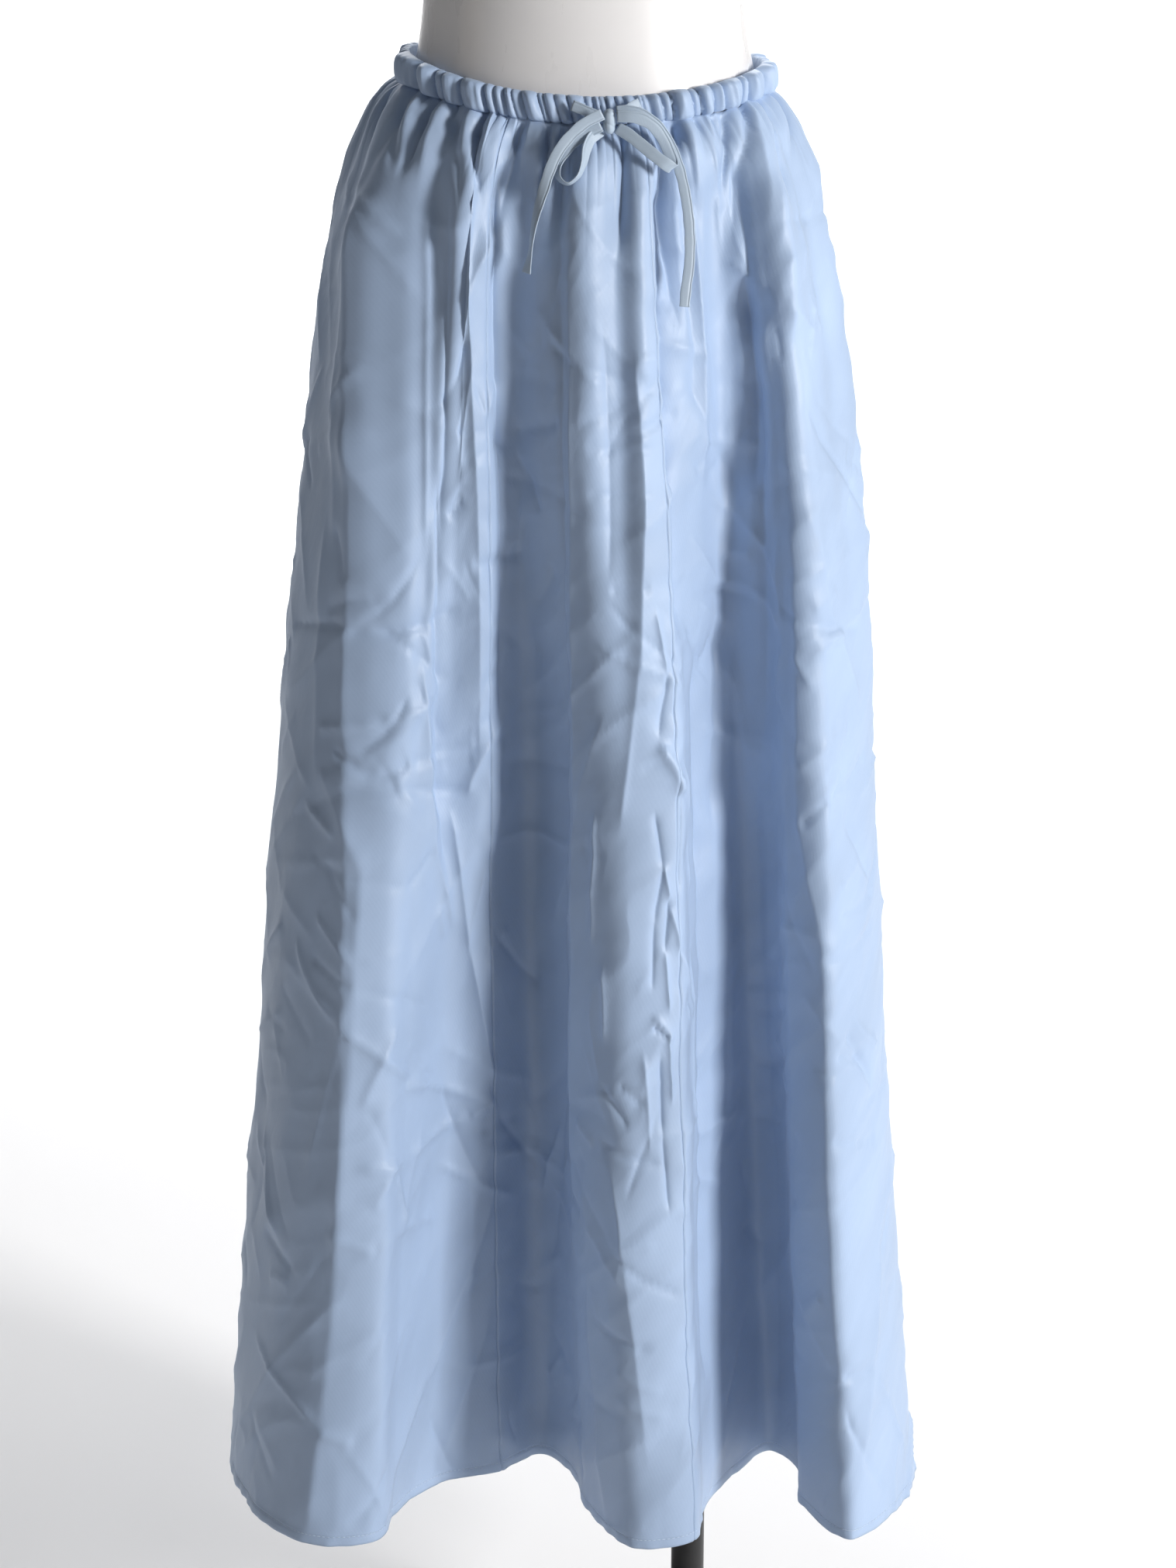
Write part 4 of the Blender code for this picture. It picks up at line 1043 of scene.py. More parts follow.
def shell_faces(rows, columns, step):
    """Faces of a closed cloth: a fine outer grid, an inner grid with every step-th row and
    column, and fans that join their rims."""
    outer = np.arange((rows + 1) * (columns + 1)).reshape(rows + 1, columns + 1)
    inner = np.arange((rows // step + 1) * (columns // step + 1)) + outer.size
    inner = inner.reshape(rows // step + 1, columns // step + 1)

    def quads(grid):
        corners = [grid[:-1, :-1], grid[1:, :-1], grid[1:, 1:], grid[:-1, 1:]]
        return np.stack(corners, -1).reshape(-1, 4)

    def rim(fine, coarse):
        fans = []
        half = step // 2
        for j in range(step):
            end = coarse[:-1] if j < half else coarse[1:]
            fans.append(np.stack([fine[j:-1:step], fine[j + 1 :: step], end], -1))
        fans.append(np.stack([fine[half:-1:step], coarse[1:], coarse[:-1]], -1))
        return np.concatenate(fans)

    rims = [
        rim(outer[0], inner[0]),
        rim(outer[-1], inner[-1])[:, ::-1],
        rim(outer[:, 0], inner[:, 0])[:, ::-1],
        rim(outer[:, -1], inner[:, -1]),
    ]
    return [np.concatenate([quads(outer), quads(inner)[:, ::-1]]), np.concatenate(rims)]


def ring_quads(rows, columns, closed_rows=False):
    """Faces of a surface that closes round its columns, and round its rows if asked."""
    grid = np.arange(rows * columns).reshape(rows, columns)
    below = np.roll(grid, -1, axis=0) if closed_rows else grid[1:]
    here = grid if closed_rows else grid[:-1]
    corners = [here, np.roll(here, -1, 1), np.roll(below, -1, 1), below]
    return np.stack(corners, -1).reshape(-1, 4)


def tube_faces(rows, sides):
    """Faces of a tube of rings, each end closed by one flat face."""
    ring = np.arange(sides)
    return [ring_quads(rows, sides), np.stack([ring[::-1], ring + (rows - 1) * sides])]


def ring_degrees(columns):
    """Degrees of the columns of a closed ring, the first at the centre back."""
    return np.linspace(-180, 180, columns, endpoint=False)


def make_piece(name, points, faces, material, replaced=None, uv=None):
    """A smooth mesh object from points and a list of face arrays, riding on the one body."""
    points = points.reshape(-1, 3)
    corners = np.concatenate([f.ravel() for f in faces]).astype(np.int32)
    sizes = np.concatenate([np.full(len(f), f.shape[1]) for f in faces])
    starts = np.concatenate([[0], np.cumsum(sizes)[:-1]]).astype(np.int32)
    mesh = bpy.data.meshes.new(name)
    mesh.vertices.add(len(points))
    mesh.vertices.foreach_set("co", np.asarray(points, np.float32).ravel())
    mesh.loops.add(len(corners))
    mesh.loops.foreach_set("vertex_index", corners)
    mesh.polygons.add(len(sizes))
    mesh.polygons.foreach_set("loop_start", starts)
    if uv is not None:
        layer = mesh.uv_layers.new(name="cloth")
        uv = np.asarray(uv.reshape(-1, 2), np.float32)
        layer.uv.foreach_set("vector", uv[corners].ravel())
    mesh.update(calc_edges=True)
    mesh.validate()
    mesh.shade_smooth()
    mesh.materials.append(material)
    piece = bpy.data.objects.new(name, mesh)
    bpy.context.scene.collection.objects.link(piece)
    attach(piece, "root")
    if replaced:
        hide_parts(replaced)
    return piece


def tucked(points, around, drop, reach):
    """The cloth with its upper edge drawn level into the casing, this far out from the form:
    by a share of the way, e to minus the power 1.5 of distance below over the tuck's run."""
    degrees = casing_degrees(around)
    seam = seam_height(degrees)
    share = np.exp(-(((seam - HEM_HEIGHT) * drop / TUCK_RUN) ** 1.5))[..., None]
    foot, out = casing_foot(degrees, seam)
    level = points[..., :2] * (1 - share) + (foot + out * reach) * share
    return np.concatenate([level, points[..., 2:] + TUCK_RISE * share], axis=-1)


def gore_grid(start, end, columns):
    """Places and drops of a gore's grid, its columns closer together beside the seams."""
    u = np.linspace(0, 1, columns + 1)
    u = u - 0.55 * np.sin(2 * np.pi * u) / (2 * np.pi)
    return np.meshgrid(start + (end - start) * u, cloth_drops())


def build_gore(name, columns, start, end, material, scale):
    """One gore of satin as a thin closed shell, with its folds, creases, seams and hem."""
    around, drop = gore_grid(start, end, columns)
    relief = cloth_relief(around, drop) * scale
    base, out = cloth(around, drop), outward(around, drop)
    face = tucked(base + out * relief[..., None], around, drop, TUCK_REACH)
    low = lowest_near(relief, INNER_STEP) - WALL
    some = (slice(None, None, INNER_STEP), slice(None, None, INNER_STEP))
    back = base[some] + out[some] * low[..., None]
    back = tucked(back, around[some], drop[some], TUCK_REACH - WALL)
    points = np.concatenate([face.reshape(-1, 3), back.reshape(-1, 3)])
    flat = np.stack([around * breadth(drop), -drop * CLOTH_LENGTH], -1)
    uv = np.concatenate([flat.reshape(-1, 2), flat[some].reshape(-1, 2)])
    faces = shell_faces(relief.shape[0] - 1, relief.shape[1] - 1, INNER_STEP)
    piece = make_piece(name + "_satin", points, faces, material, name, uv)
    return piece


def form_point(degrees, height):
    """Surface of the dress form: an ellipse at each height, with a smooth bust in front."""
    wide, deep, y = table_at(FORM_SECTIONS, height, 1, 2, 3)
    turn = np.radians(degrees)
    px, py = FORM_CENTRE_X + wide * np.sin(turn), y - deep * np.cos(turn)
    front = np.clip(np.cos(turn), 0, 1) ** 0.5
    tall = np.exp(-(((height - BUST_HEIGHT) / BUST_TALL) ** 2))
    for side in (-1, 1):
        across = np.exp(-(((px - FORM_CENTRE_X - side * BUST_APART) / BUST_WIDTH) ** 2))
        py = py - BUST_DEPTH * front * tall * across
    return np.stack([px, py, height + 0 * px], axis=-1)


def build_form(material):
    """The dress form: ellipse sections up its height, with rounded rims and flat ends."""
    top = FORM_SECTIONS[-1][0]
    turn = np.linspace(0, 1, 6) * math.pi / 2
    inward, rise = FORM_EDGE * (1 - np.sin(turn)), FORM_EDGE * (1 - np.cos(turn))
    heights = np.linspace(FORM_UNDERSIDE + FORM_EDGE, top - FORM_EDGE, FORM_ROWS)
    heights = np.concatenate([FORM_UNDERSIDE + rise, heights[1:-1], top - rise[::-1]])
    shrink = np.concatenate([inward, np.zeros(FORM_ROWS - 2), inward[::-1]])
    points = form_point(*np.meshgrid(ring_degrees(FORM_COLUMNS), heights))
    centre = points.mean(axis=1, keepdims=True)
    radius = np.linalg.norm((points - centre)[..., :2], axis=-1, keepdims=True)
    points[..., :2] -= (points - centre)[..., :2] / radius * shrink[:, None, None]
    rows = len(heights)
    count = rows * FORM_COLUMNS
    first = np.arange(FORM_COLUMNS)
    last = first + count - FORM_COLUMNS
    under = np.stack([np.roll(first, -1), first, np.full(FORM_COLUMNS, count)], -1)
    over = np.stack([last, np.roll(last, -1), np.full(FORM_COLUMNS, count + 1)], -1)
    faces = [ring_quads(rows, FORM_COLUMNS), np.concatenate([under, over])]
    every = np.concatenate([points.reshape(-1, 3), centre[0], centre[-1]])
    return make_piece("form_shell", every, faces, material, "dress_form")


def casing_foot(degrees, height):
    """Where the casing stands on the form, and the level direction out of it there."""
    turn = np.radians(degrees)
    out = np.stack([np.sin(turn) / OUTLINE[0][1], -np.cos(turn) / OUTLINE[0][2]], axis=-1)
    out = out / np.linalg.norm(out, axis=-1, keepdims=True)
    return form_point(degrees, height)[..., :2], out


def casing_points(columns, rows, shrink, scale):
    """Surface of the casing, shrunk about the middle of its section by a share."""
    table = np.array(CASING_PROFILE)
    index = np.arange(-OVERLAP, len(table) + OVERLAP)
    w = np.linspace(0, len(table), rows, endpoint=False)
    distance, share, puffed = (
        smooth(w, index, table[index % len(table), k]) for k in range(3)
    )
    distance = CASING_MIDDLE + (distance - CASING_MIDDLE) * shrink
    share = 0.5 + (share - 0.5) * shrink
    d, distance = np.meshgrid(ring_degrees(columns), distance)
    share, puffed = (np.broadcast_to(v[:, None], d.shape) for v in (share, puffed))
    slant = RUFFLE_SLANT + 2.4 * (lattice_noise(d / 7.0, 0 * d, 81) - 0.5)
    puff = ruffle(d + slant * share)[0]
    wrinkle = lattice_noise((d + slant * share) / WRINKLE_DEGREES, share * 1.6, 82) - 0.5
    wave = scale * (RUFFLE_HIGH * (puff - RUFFLE_MEAN) + WRINKLE_HIGH * wrinkle) * puffed
    seam = casing_top(d) - CASING_HEIGHT
    foot, out = casing_foot(d, seam)
    reach = CASING_CLEARANCE + distance + wave
    x, y = np.moveaxis(foot + out * reach[..., None], -1, 0)
    lift = np.clip(share - 0.6, 0, 1) * RUFFLE_LIFT * (puff - 0.7)
    points = np.stack([x, y, seam + share * CASING_HEIGHT + lift], axis=-1)
    uv = np.stack([np.radians(d) * CASING_RADIUS, share * CASING_HEIGHT], -1)
    return points.reshape(-1, 3), uv.reshape(-1, 2)


def build_casing(material, scale):
    """The gathered casing, a hollow tunnel: a rounded profile carried round the form, puffed
    and pinched by the ruffles, whose creases slant a little from top to bottom."""
    columns, few = CASING_COLUMNS, CASING_COLUMNS // 4
    skin, skin_map = casing_points(columns, CASING_ROWS, 1.0, scale)
    lining, lining_map = casing_points(few, LINING_ROWS, LINING_SHRINK, scale)
    faces = [
        ring_quads(CASING_ROWS, columns, closed_rows=True),
        ring_quads(LINING_ROWS, few, closed_rows=True)[:, ::-1] + len(skin),
    ]
    points, uv = np.concatenate([skin, lining]), np.concatenate([skin_map, lining_map])
    piece = make_piece("casing_satin", points, faces, material, "waist_casing", uv)
    return piece


def band_frame(rows, count):
    """Points along a band's path, and the band's width and face directions there."""
    table = np.array(rows, float)
    steps = np.linalg.norm(np.diff(table[:, :3], axis=0), axis=1)
    run = np.concatenate([[0.0], np.cumsum(steps)])
    at = np.linspace(0, run[-1], count)
    x, out, down, lean, tilt = (smooth(at, run, table[:, k]) for k in range(5))
    centre = np.stack([x, -out, CASING_TOP - down], axis=-1)
    along = np.gradient(centre, axis=0)
    along = along / np.linalg.norm(along, axis=1, keepdims=True)
    lean, tilt = np.radians(lean), np.radians(tilt)
    flat = np.cos(tilt)
    wide = np.stack([np.cos(lean) * flat, -np.sin(tilt), np.sin(lean) * flat], axis=-1)
    wide = wide - along * (wide * along).sum(axis=1, keepdims=True)
    wide = wide / np.linalg.norm(wide, axis=1, keepdims=True)
    return centre, wide, np.cross(along, wide)


def build_band(name, width, rows, material):
    """A folded flat tie: a flattened ring of a section, with a stitch groove near one edge,
    carried along the path; its ends are closed."""
    length = float(np.linalg.norm(np.diff(np.array(rows)[:, :3], axis=0), axis=1).sum())
    count = max(12, round(length / BAND_STEP))
    centre, wide, face = band_frame(rows, count)
    section = np.array(BAND_SECTION)
    at = np.linspace(0, 1, count)
    uneven = 1 + 0.05 * np.sin(at * length / 0.0021) * np.sin(at * length / 0.013)
    across = section[:, 0][None, :] * width / 2 * uneven[:, None]
    thick = section[:, 1][None, :] * BAND_THICK / 2 * np.ones((count, 1))
    points = centre[:, None] + wide[:, None] * across[..., None] + face[:, None] * thick[..., None]
    uv = np.stack([across, np.broadcast_to(at[:, None] * length, across.shape)], -1)
    faces = tube_faces(count, len(section))
    return make_piece(name + "_satin", points, faces, material, name, uv), centre


def build_knot(material):
    """The knot: a rounded block whose surface is ribbed aslant by two turns of the band."""
    u = np.linspace(0, 2 * np.pi, KNOT_SIDES, endpoint=False)
    uu, vv = np.meshgrid(u, np.linspace(-1, 1, KNOT_ROWS))
    round_off = (1 - np.abs(vv) ** 3.2) ** 0.42
    wrap = np.abs(np.sin(1.5 * (vv * 1.6 + 0.35 * np.sin(uu)) * np.pi / 2 + 0.7)) ** 0.5
    ribs = 0.86 + 0.14 * wrap
    x = KNOT[0] + KNOT_HALF[0] * round_off * ribs * np.sin(uu)
    y = -KNOT[1] - KNOT_HALF[1] * round_off * ribs * np.cos(uu)
    z = CASING_TOP - KNOT[2] + KNOT_HALF[2] * vv
    points = np.stack([x, y, z], -1)
    uv = np.stack([uu * KNOT_HALF[0], vv * KNOT_HALF[2]], -1)
    faces = tube_faces(KNOT_ROWS, KNOT_SIDES)
    return make_piece("knot_satin", points, faces, material, "drawstring_knot", uv)


def spun(profile, columns, x=0.0):
    """Points of a profile of radius and height carried round an upright axis."""
    radius, height = np.array(profile, float).T[..., None]
    turn = np.linspace(0, 2 * np.pi, columns, endpoint=False)
    ring = [x + radius * np.cos(turn), radius * np.sin(turn), height + 0 * turn]
    return np.stack(ring, axis=-1)


def rounded(radius, low, high, edge):
    """Profile of a plain disc or rod: from its lower face's centre out and up, rims rounded."""
    turn = np.linspace(0, math.pi / 2, 7)
    lower = np.stack([radius - edge + edge * np.sin(turn), low + edge - edge * np.cos(turn)], -1)
    upper = np.stack([radius - edge + edge * np.cos(turn), high - edge + edge * np.sin(turn)], -1)
    inset = max(radius - 3 * edge, radius * 0.5)
    return np.concatenate([[[inset, low]], lower, upper, [[inset, high]]])


def build_stand(material):
    """The round base and the pole, each a spun profile closed by flat ends."""
    plate = rounded(BASE_RADIUS, 0.0, BASE_THICK, edge=0.0015)
    tube = rounded(POLE_RADIUS, BASE_THICK + GAP, FORM_UNDERSIDE - GAP, edge=0.0006)
    for name, node, profile, columns, x in (
        ("base_plate", "stand_base", plate, BASE_COLUMNS, 0.0),
        ("pole_tube", "stand_pole", tube, POLE_COLUMNS, POLE_X),
    ):
        faces = tube_faces(len(profile), columns)
        make_piece(name, spun(profile, columns, x), faces, material, node)


def stitch_row(places, along, out, size):
    """Small rounded stitches laid at places, each a stretched five-sided bead."""
    rings = ((-1.0, 0.35), (-0.55, 1.0), (0.55, 1.0), (1.0, 0.35))
    sides = 5
    bead = np.array(
        [
            (share, half * math.cos(turn), half * math.sin(turn))
            for share, half in rings
            for turn in np.arange(sides) * math.tau / sides
        ]
    )
    points = places[:, None]
    ways = (along, np.cross(out, along), out)
    for way, spread, wide in zip(ways, bead.T, (size[0], size[1], size[1])):
        points = points + way[:, None] * (spread * wide / 2)[None, :, None]
    shift = (np.arange(len(places)) * len(bead))[:, None, None]
    faces = [(f + shift).reshape(-1, f.shape[1]) for f in tube_faces(len(rings), sides)]
    return points, faces


def build_hem_stitches(material):
    """The row of stitches along the hem, lying on the finished cloth."""
    count = round(HEM_ROUND / STITCH_APART)
    around = np.arange(count) / count
    drop = np.full(count, 1 - (HEM_FOLD - STITCH_INSIDE) / CLOTH_LENGTH)
    out = outward(around, drop)
    place = cloth(around, drop) + out * (cloth_relief(around, drop) + STITCH_LIFT)[:, None]
    along = cloth(around + 1e-3, drop) - cloth(around - 1e-3, drop)
    along = along / np.linalg.norm(along, axis=-1, keepdims=True)
    points, faces = stitch_row(place, along, out, STITCH_SIZE)
    return make_piece("hem_stitches", points, faces, material)


class Look:
    """A new material: its Principled shader's inputs, and nodes that drive them from one kind
    of coordinates."""

    def __init__(self, name, colour, roughness, coordinates="Object"):
        self.material = bpy.data.materials.new(name)
        self.material.use_nodes = True
        self.nodes = self.material.node_tree.nodes
        self.links = self.material.node_tree.links
        self.inputs = self.nodes["Principled BSDF"].inputs
        self.inputs["Base Color"].default_value = (*colour, 1.0)
        self.inputs["Roughness"].default_value = roughness
        self.place = self.nodes.new("ShaderNodeTexCoord").outputs[coordinates]
        self.normal = None

    def node(self, kind, source, into, settings):
        """A new node of a kind, with its settings, fed by a source."""
        made = self.nodes.new(kind)
        for name, value in settings.items():
            made.inputs[name].default_value = value
        self.links.new(source, made.inputs[into])
        return made

    def noise(self, scale, detail, stretch=(1, 1, 1), angle=0.0):
        """A noise texture on stretched, turned coordinates."""
        turned = {"Scale": stretch, "Rotation": (0.0, 0.0, angle)}
        mapping = self.node("ShaderNodeMapping", self.place, "Vector", turned)
        grain = {"Scale": scale, "Detail": detail}
        source = mapping.outputs["Vector"]
        return self.node("ShaderNodeTexNoise", source, "Vector", grain).outputs["Fac"]

    def colour(self, factor, low, high, span=(0.35, 0.65)):
        """The colour runs from low to high as the factor crosses its span."""
        ramp = self.node("ShaderNodeValToRGB", factor, "Fac", {})
        for element, position, shade in zip(ramp.color_ramp.elements, span, (low, high)):
            element.position = position
            element.color = (*shade, 1.0)
        self.links.new(ramp.outputs["Color"], self.inputs["Base Color"])

    def roughness(self, factor, low, high):
        """The roughness runs from low to high as the factor goes from 0.3 to 0.7."""
        ends = {"From Min": 0.3, "From Max": 0.7, "To Min": low, "To Max": high}
        remap = self.node("ShaderNodeMapRange", factor, "Value", ends)
        self.links.new(remap.outputs["Result"], self.inputs["Roughness"])

    def bump(self, height, distance, strength):
        """A bump of one height in metres, laid over the bump before it."""
        size = {"Distance": distance, "Strength": strength}
        bump = self.node("ShaderNodeBump", height, "Height", size)
        if self.normal:
            self.links.new(self.normal, bump.inputs["Normal"])
        self.normal = bump.outputs["Normal"]
        self.links.new(self.normal, self.inputs["Normal"])


def scaled(colour, share):
    """A colour made lighter or darker by a share."""
    return tuple(min(1.0, c * share) for c in colour)


def satin(name, colour, roughness, sheen):
    """Satin: a warp-faced weave of fine slanting floats, soft crinkles, a broad gloss and a
    light sheen. The pattern follows the cloth by its own map, in metres."""
    look = Look(name, colour, roughness, "UV")
    shade = look.noise(scale=9.0, detail=3.0, stretch=(1, 0.5, 1))
    look.colour(shade, scaled(colour, 0.93), scaled(colour, 1.05))
    streaks = look.noise(scale=900.0, detail=2.0, stretch=(1, 0.06, 1))
    look.roughness(streaks, roughness - 0.05, roughness + 0.06)
    look.inputs["Sheen Weight"].default_value = sheen
    look.inputs["Sheen Roughness"].default_value = 0.45
    look.inputs["Sheen Tint"].default_value = (0.78, 0.88, 1.0, 1.0)
    bands = {"Scale": 260.0, "Distortion": 1.5}
    weave = look.node("ShaderNodeTexWave", look.place, "Vector", bands)
    weave.bands_direction = "DIAGONAL"
    look.bump(weave.outputs["Fac"], distance=0.00004, strength=0.35)
    crumple = look.noise(scale=42.0, detail=3.0, stretch=(1, 0.55, 1), angle=0.35)
    look.bump(crumple, distance=0.0014, strength=0.55)
    return look.material


def form_gloss(colour, roughness):
    """Glossy moulded white: nearly even, with faint cloudy wear in its gloss and a slow ripple."""
    look = Look("form gloss white", colour, roughness)
    clouds = look.noise(scale=7.0, detail=4.0)
    look.colour(clouds, scaled(colour, 0.95), colour)
    scuffs = look.noise(scale=60.0, detail=5.0, stretch=(1, 1, 0.3))
    look.roughness(scuffs, roughness, roughness + 0.12)
    look.inputs["Coat Weight"].default_value = 0.5
    look.inputs["Coat Roughness"].default_value = 0.12
    look.bump(look.noise(scale=22.0, detail=2.0), distance=0.0005, strength=0.15)
    return look.material


def stand_paint(colour, roughness):
    """Black powder coat: a fine orange-peel bump, rubbed a little brighter in places."""
    look = Look("stand black paint", colour, roughness)
    rubbed = look.noise(scale=18.0, detail=5.0)
    look.colour(rubbed, colour, tuple(c + 0.02 for c in colour), span=(0.45, 0.8))
    look.roughness(rubbed, roughness - 0.06, roughness + 0.1)
    look.bump(look.noise(scale=900.0, detail=1.0), distance=0.0001, strength=0.3)
    return look.material


def thread(colour):
    """Sewing thread: matt, with a fine twist."""
    look = Look("sewing thread", colour, 0.6)
    look.bump(look.noise(scale=1500.0, detail=1.0), distance=0.0001, strength=0.3)
    return look.material


def plain(name, colour, roughness):
    """A stage surface: one pale colour with the faintest clouding."""
    look = Look(name, colour, roughness)
    look.colour(look.noise(scale=1.5, detail=2.0), scaled(colour, 0.985), colour)
    return look.material


def area_light(name, place, aim, size, colour, power):
    """A soft rectangular lamp at a place, facing its aim."""
    lamp = bpy.data.lights.new(name, "AREA")
    lamp.shape = "RECTANGLE"
    lamp.size, lamp.size_y = size
    lamp.energy = power
    lamp.color = colour
    made = bpy.data.objects.new(name, lamp)
    made.location = place
    x, y, z = (a - p for a, p in zip(aim, place))
    down = math.atan2(math.hypot(x, y), -z)
    made.rotation_euler = (down, 0.0, math.atan2(x, -y) + math.pi)
    bpy.context.scene.collection.objects.link(made)


def build_stage(settings):
    """Pale floor that curves up into a backdrop, soft lamps, and the camera."""
    turn = np.linspace(0, math.pi / 2, 24)
    bend = STAGE_BEND
    y = np.concatenate([[-STAGE_HALF], STAGE_FAR + bend * np.sin(turn), [STAGE_FAR + bend]])
    z = np.concatenate([[0.0], bend - bend * np.cos(turn), [STAGE_TOP]]) - STAGE_BELOW
    x = np.array([-STAGE_HALF, STAGE_HALF])
    points = np.stack(np.broadcast_arrays(x, y[:, None], z[:, None]), -1)
    grid = np.arange(2 * len(y)).reshape(-1, 2)
    faces = np.stack([grid[:-1, 0], grid[:-1, 1], grid[1:, 1], grid[1:, 0]], -1)
    mesh = bpy.data.meshes.new("stage_sweep")
    mesh.from_pydata(points.reshape(-1, 3).tolist(), [], faces.tolist())
    mesh.shade_smooth()
    mesh.materials.append(plain("stage pale", tuple(settings.floor_colour), 0.9))
    sweep = bpy.data.objects.new("stage_sweep", mesh)
    bpy.context.scene.collection.objects.link(sweep)
    world = bpy.data.worlds.new("studio")
    world.use_nodes = True
    background = world.node_tree.nodes["Background"]
    background.inputs["Color"].default_value = (*settings.room_colour, 1.0)
    background.inputs["Strength"].default_value = settings.room_light
    bpy.context.scene.world = world
    for lamp in LAMPS:
        area_light(*lamp, getattr(settings, lamp[0] + "_power"))
    bpy.context.scene.view_settings.view_transform = "Standard"
    lens = bpy.data.cameras.new("camera")
    lens.sensor_fit = "AUTO"
    lens.sensor_width = CAMERA_SENSOR
    lens.lens = CAMERA_LENS
    camera = bpy.data.objects.new("camera", lens)
    camera.location = CAMERA_PLACE
    camera.rotation_euler = (math.radians(90.0 - CAMERA_PITCH), 0.0, 0.0)
    bpy.context.scene.collection.objects.link(camera)
    bpy.context.scene.camera = camera


def colour_property(name, description, default):
    """A colour setting."""
    return bpy.props.FloatVectorProperty(
        name=name, description=description, default=default, size=3, subtype="COLOR", min=0.0, max=1.0
    )


def share_property(name, description, default, least=0.0, most=1.0):
    """A setting that is a share."""
    return bpy.props.FloatProperty(
        name=name, description=description, default=default, min=least, max=most, subtype="FACTOR"
    )


def power_property(name, description, default):
    """The power of a lamp in watts."""
    return bpy.props.FloatProperty(
        name=name, description=description, default=default, min=0.0, max=2000.0, unit="POWER"
    )


class SkirtCloth(bpy.types.PropertyGroup):
    """Cloth of the skirt."""

    colour: colour_property("Satin", "Colour of the satin", (0.36, 0.47, 0.66))
    thread_colour: colour_property("Thread", "Colour of the sewing thread", (0.52, 0.62, 0.76))
    roughness: share_property("Roughness", "How dull the satin is", 0.50, least=0.05)
    sheen: share_property("Sheen", "Bright edge of the cloth", 0.35)
    relief: share_property("Relief", "Share of the creases and gathers that shows", 1.0, most=1.2)


class SkirtTie(bpy.types.PropertyGroup):
    """The drawstring."""

    colour: colour_property("Tie", "Colour of the drawstring", (0.40, 0.49, 0.60))
    roughness: share_property("Roughness", "How dull the tie is", 0.52, least=0.05)


class SkirtStand(bpy.types.PropertyGroup):
    """The dress form and its stand."""

    form_colour: colour_property("Form", "Colour of the dress form", (0.80, 0.79, 0.80))
    form_roughness: share_property("Form roughness", "How dull the form is", 0.24, least=0.02)
    paint_colour: colour_property("Stand", "Colour of the pole and base", (0.010, 0.010, 0.011))
    paint_roughness: share_property("Stand roughness", "How dull the paint is", 0.36, least=0.05)


class SkirtStage(bpy.types.PropertyGroup):
    """Floor and light."""

    floor_colour: colour_property("Floor", "Colour of the floor and backdrop", (0.86, 0.86, 0.87))
    room_colour: colour_property("Room", "Colour of the light all round", (0.96, 0.98, 1.0))
    room_light: share_property("Room light", "Strength of the light all round", 0.13, most=5.0)
    key_power: power_property("Key", "Lamp at the front right", 106.0)
    rim_power: power_property("Rim", "Lamp at the right side", 22.0)
    fill_power: power_property("Fill", "Lamp at the front left", 3.0)
    floor_power: power_property("Floor lamp", "Lamp over the floor behind", 85.0)
    wall_power: power_property("Wall lamp", "Lamp on the backdrop", 62.0)


class SKIRT_OT_stage(bpy.types.Operator):
    """Make the floor, the lamps and the camera"""

    bl_idname = "skirt.stage"
    bl_label = "Stage"

    def execute(self, context):
        build_stage(context.scene.skirt_stage)
        return {"FINISHED"}


class SKIRT_OT_gores(bpy.types.Operator):
    """Make the six gores of the skirt"""

    bl_idname = "skirt.gores"
    bl_label = "Gores"

    def execute(self, context):
        cloth = context.scene.skirt_cloth
        material = satin(CLOTH_LOOK, tuple(cloth.colour), cloth.roughness, cloth.sheen)
        ends = SEAMS[1:] + [SEAMS[0] + 1]
        for (name, columns), start, end in zip(GORES, SEAMS, ends):
            build_gore(name, columns, start, end, material, cloth.relief)
        build_hem_stitches(thread(tuple(cloth.thread_colour)))
        return {"FINISHED"}


class SKIRT_OT_casing(bpy.types.Operator):
    """Make the gathered casing"""

    bl_idname = "skirt.casing"
    bl_label = "Casing"

    def execute(self, context):
        build_casing(bpy.data.materials[CLOTH_LOOK], context.scene.skirt_cloth.relief)
        return {"FINISHED"}


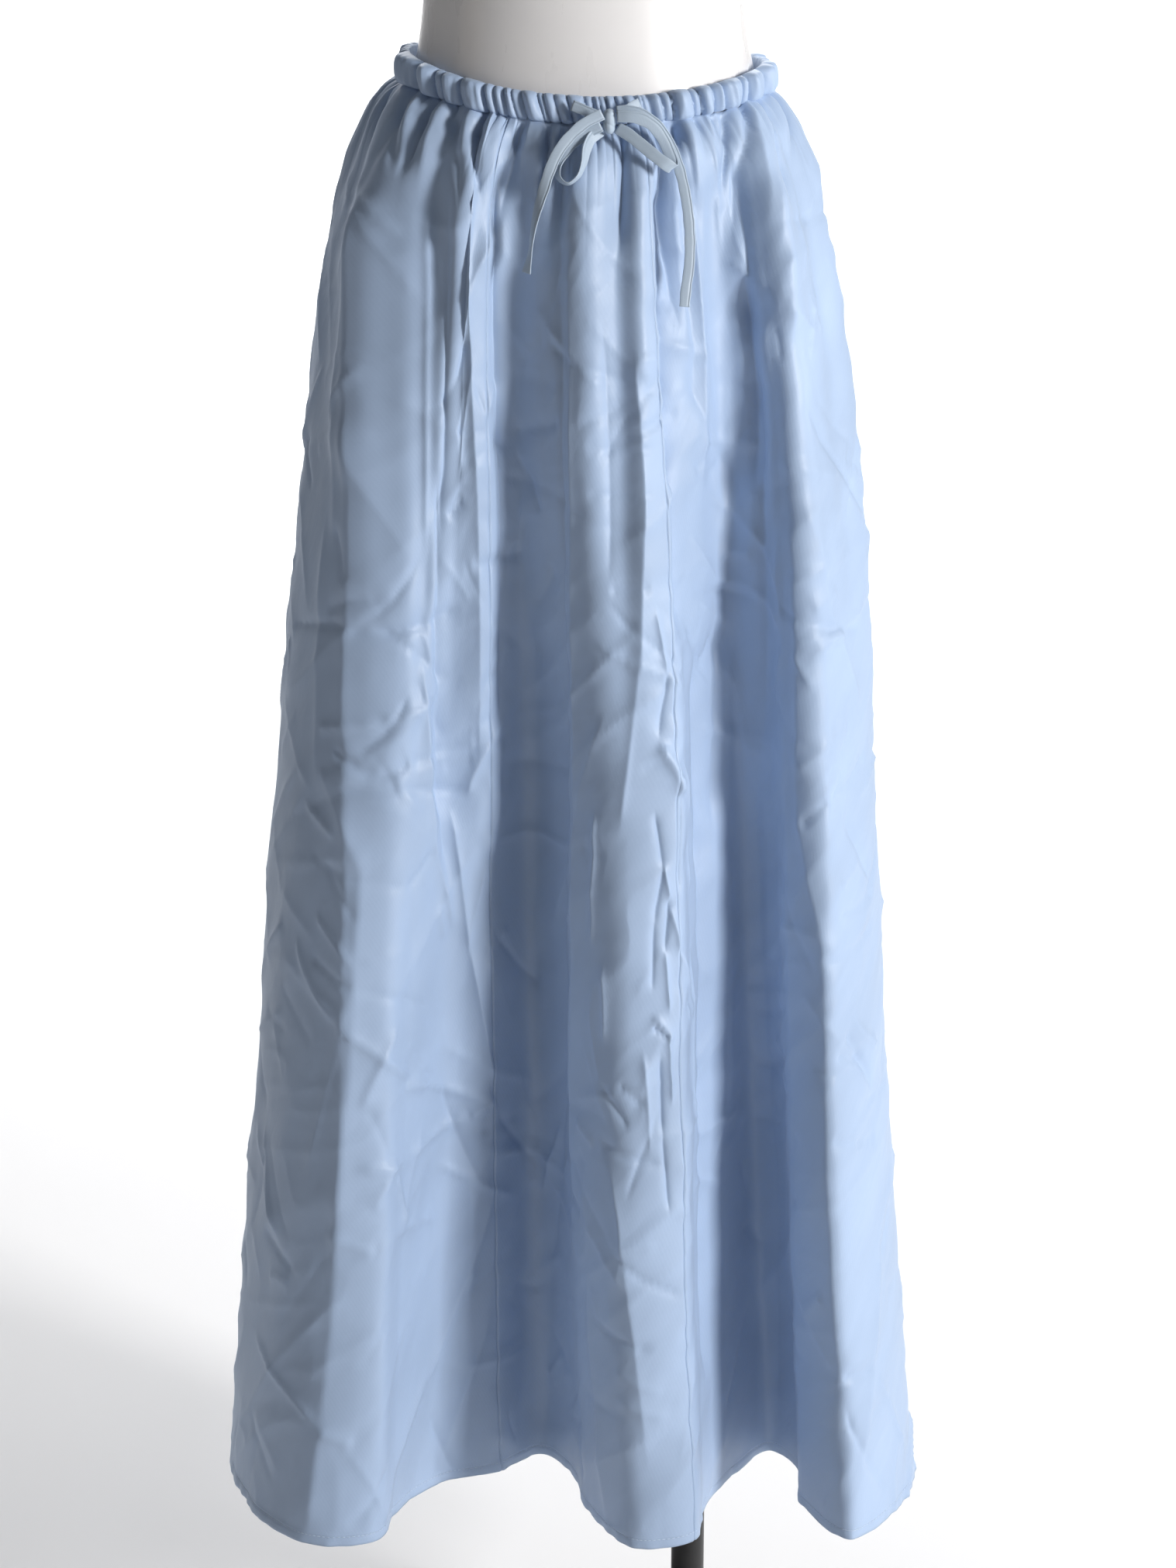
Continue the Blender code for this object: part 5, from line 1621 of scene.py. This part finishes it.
class SKIRT_OT_drawstring(bpy.types.Operator):
    """Make the drawstring: its two exits, its loops, its tails and the knot"""

    bl_idname = "skirt.drawstring"
    bl_label = "Drawstring"

    def execute(self, context):
        tie = context.scene.skirt_tie
        material = satin("tie satin", tuple(tie.colour), tie.roughness, 0.3)
        made = {name: build_band(name, *band, material) for name, band in BANDS.items()}
        knot = build_knot(material)
        for name, (width, _) in BANDS.items():
            if "exit" in name:
                continue
        return {"FINISHED"}


class SKIRT_OT_form(bpy.types.Operator):
    """Make the dress form, its pole and its base"""

    bl_idname = "skirt.form"
    bl_label = "Form and stand"

    def execute(self, context):
        stand = context.scene.skirt_stand
        build_form(form_gloss(tuple(stand.form_colour), stand.form_roughness))
        build_stand(stand_paint(tuple(stand.paint_colour), stand.paint_roughness))
        return {"FINISHED"}


class SKIRT_PT_panel(bpy.types.Panel):
    """Sizes and colours of the skirt, and the steps that make it."""

    bl_idname = "SKIRT_PT_panel"
    bl_label = "Maxi skirt"
    bl_space_type = "VIEW_3D"
    bl_region_type = "UI"
    bl_category = "Skirt"

    def draw(self, context):
        for group in (name for name, _ in GROUPS):
            box = self.layout.box()
            settings = getattr(context.scene, group)
            for name in settings.bl_rna.properties.keys():
                if name not in ("rna_type", "name"):
                    box.prop(settings, name)
        for step in STEPS:
            self.layout.operator(step.bl_idname)


GROUPS = (
    ("skirt_cloth", SkirtCloth),
    ("skirt_tie", SkirtTie),
    ("skirt_stand", SkirtStand),
    ("skirt_stage", SkirtStage),
)
STEPS = (SKIRT_OT_stage, SKIRT_OT_drawstring, SKIRT_OT_gores, SKIRT_OT_casing, SKIRT_OT_form)


def register():
    """Adds the settings to the scene, and the steps and the panel to Blender."""
    for name, group in GROUPS:
        bpy.utils.register_class(group)
        setattr(bpy.types.Scene, name, bpy.props.PointerProperty(type=group))
    for step in (*STEPS, SKIRT_PT_panel):
        bpy.utils.register_class(step)


def unregister():
    """Takes away what register adds."""
    for step in (SKIRT_PT_panel, *reversed(STEPS)):
        bpy.utils.unregister_class(step)
    for name, group in reversed(GROUPS):
        delattr(bpy.types.Scene, name)
        bpy.utils.unregister_class(group)


def main():
    """Builds every piece by its operator."""
    register()
    for step in STEPS:
        group, _, action = step.bl_idname.partition(".")
        getattr(getattr(bpy.ops, group), action)()


if __name__ == "__main__":
    main()
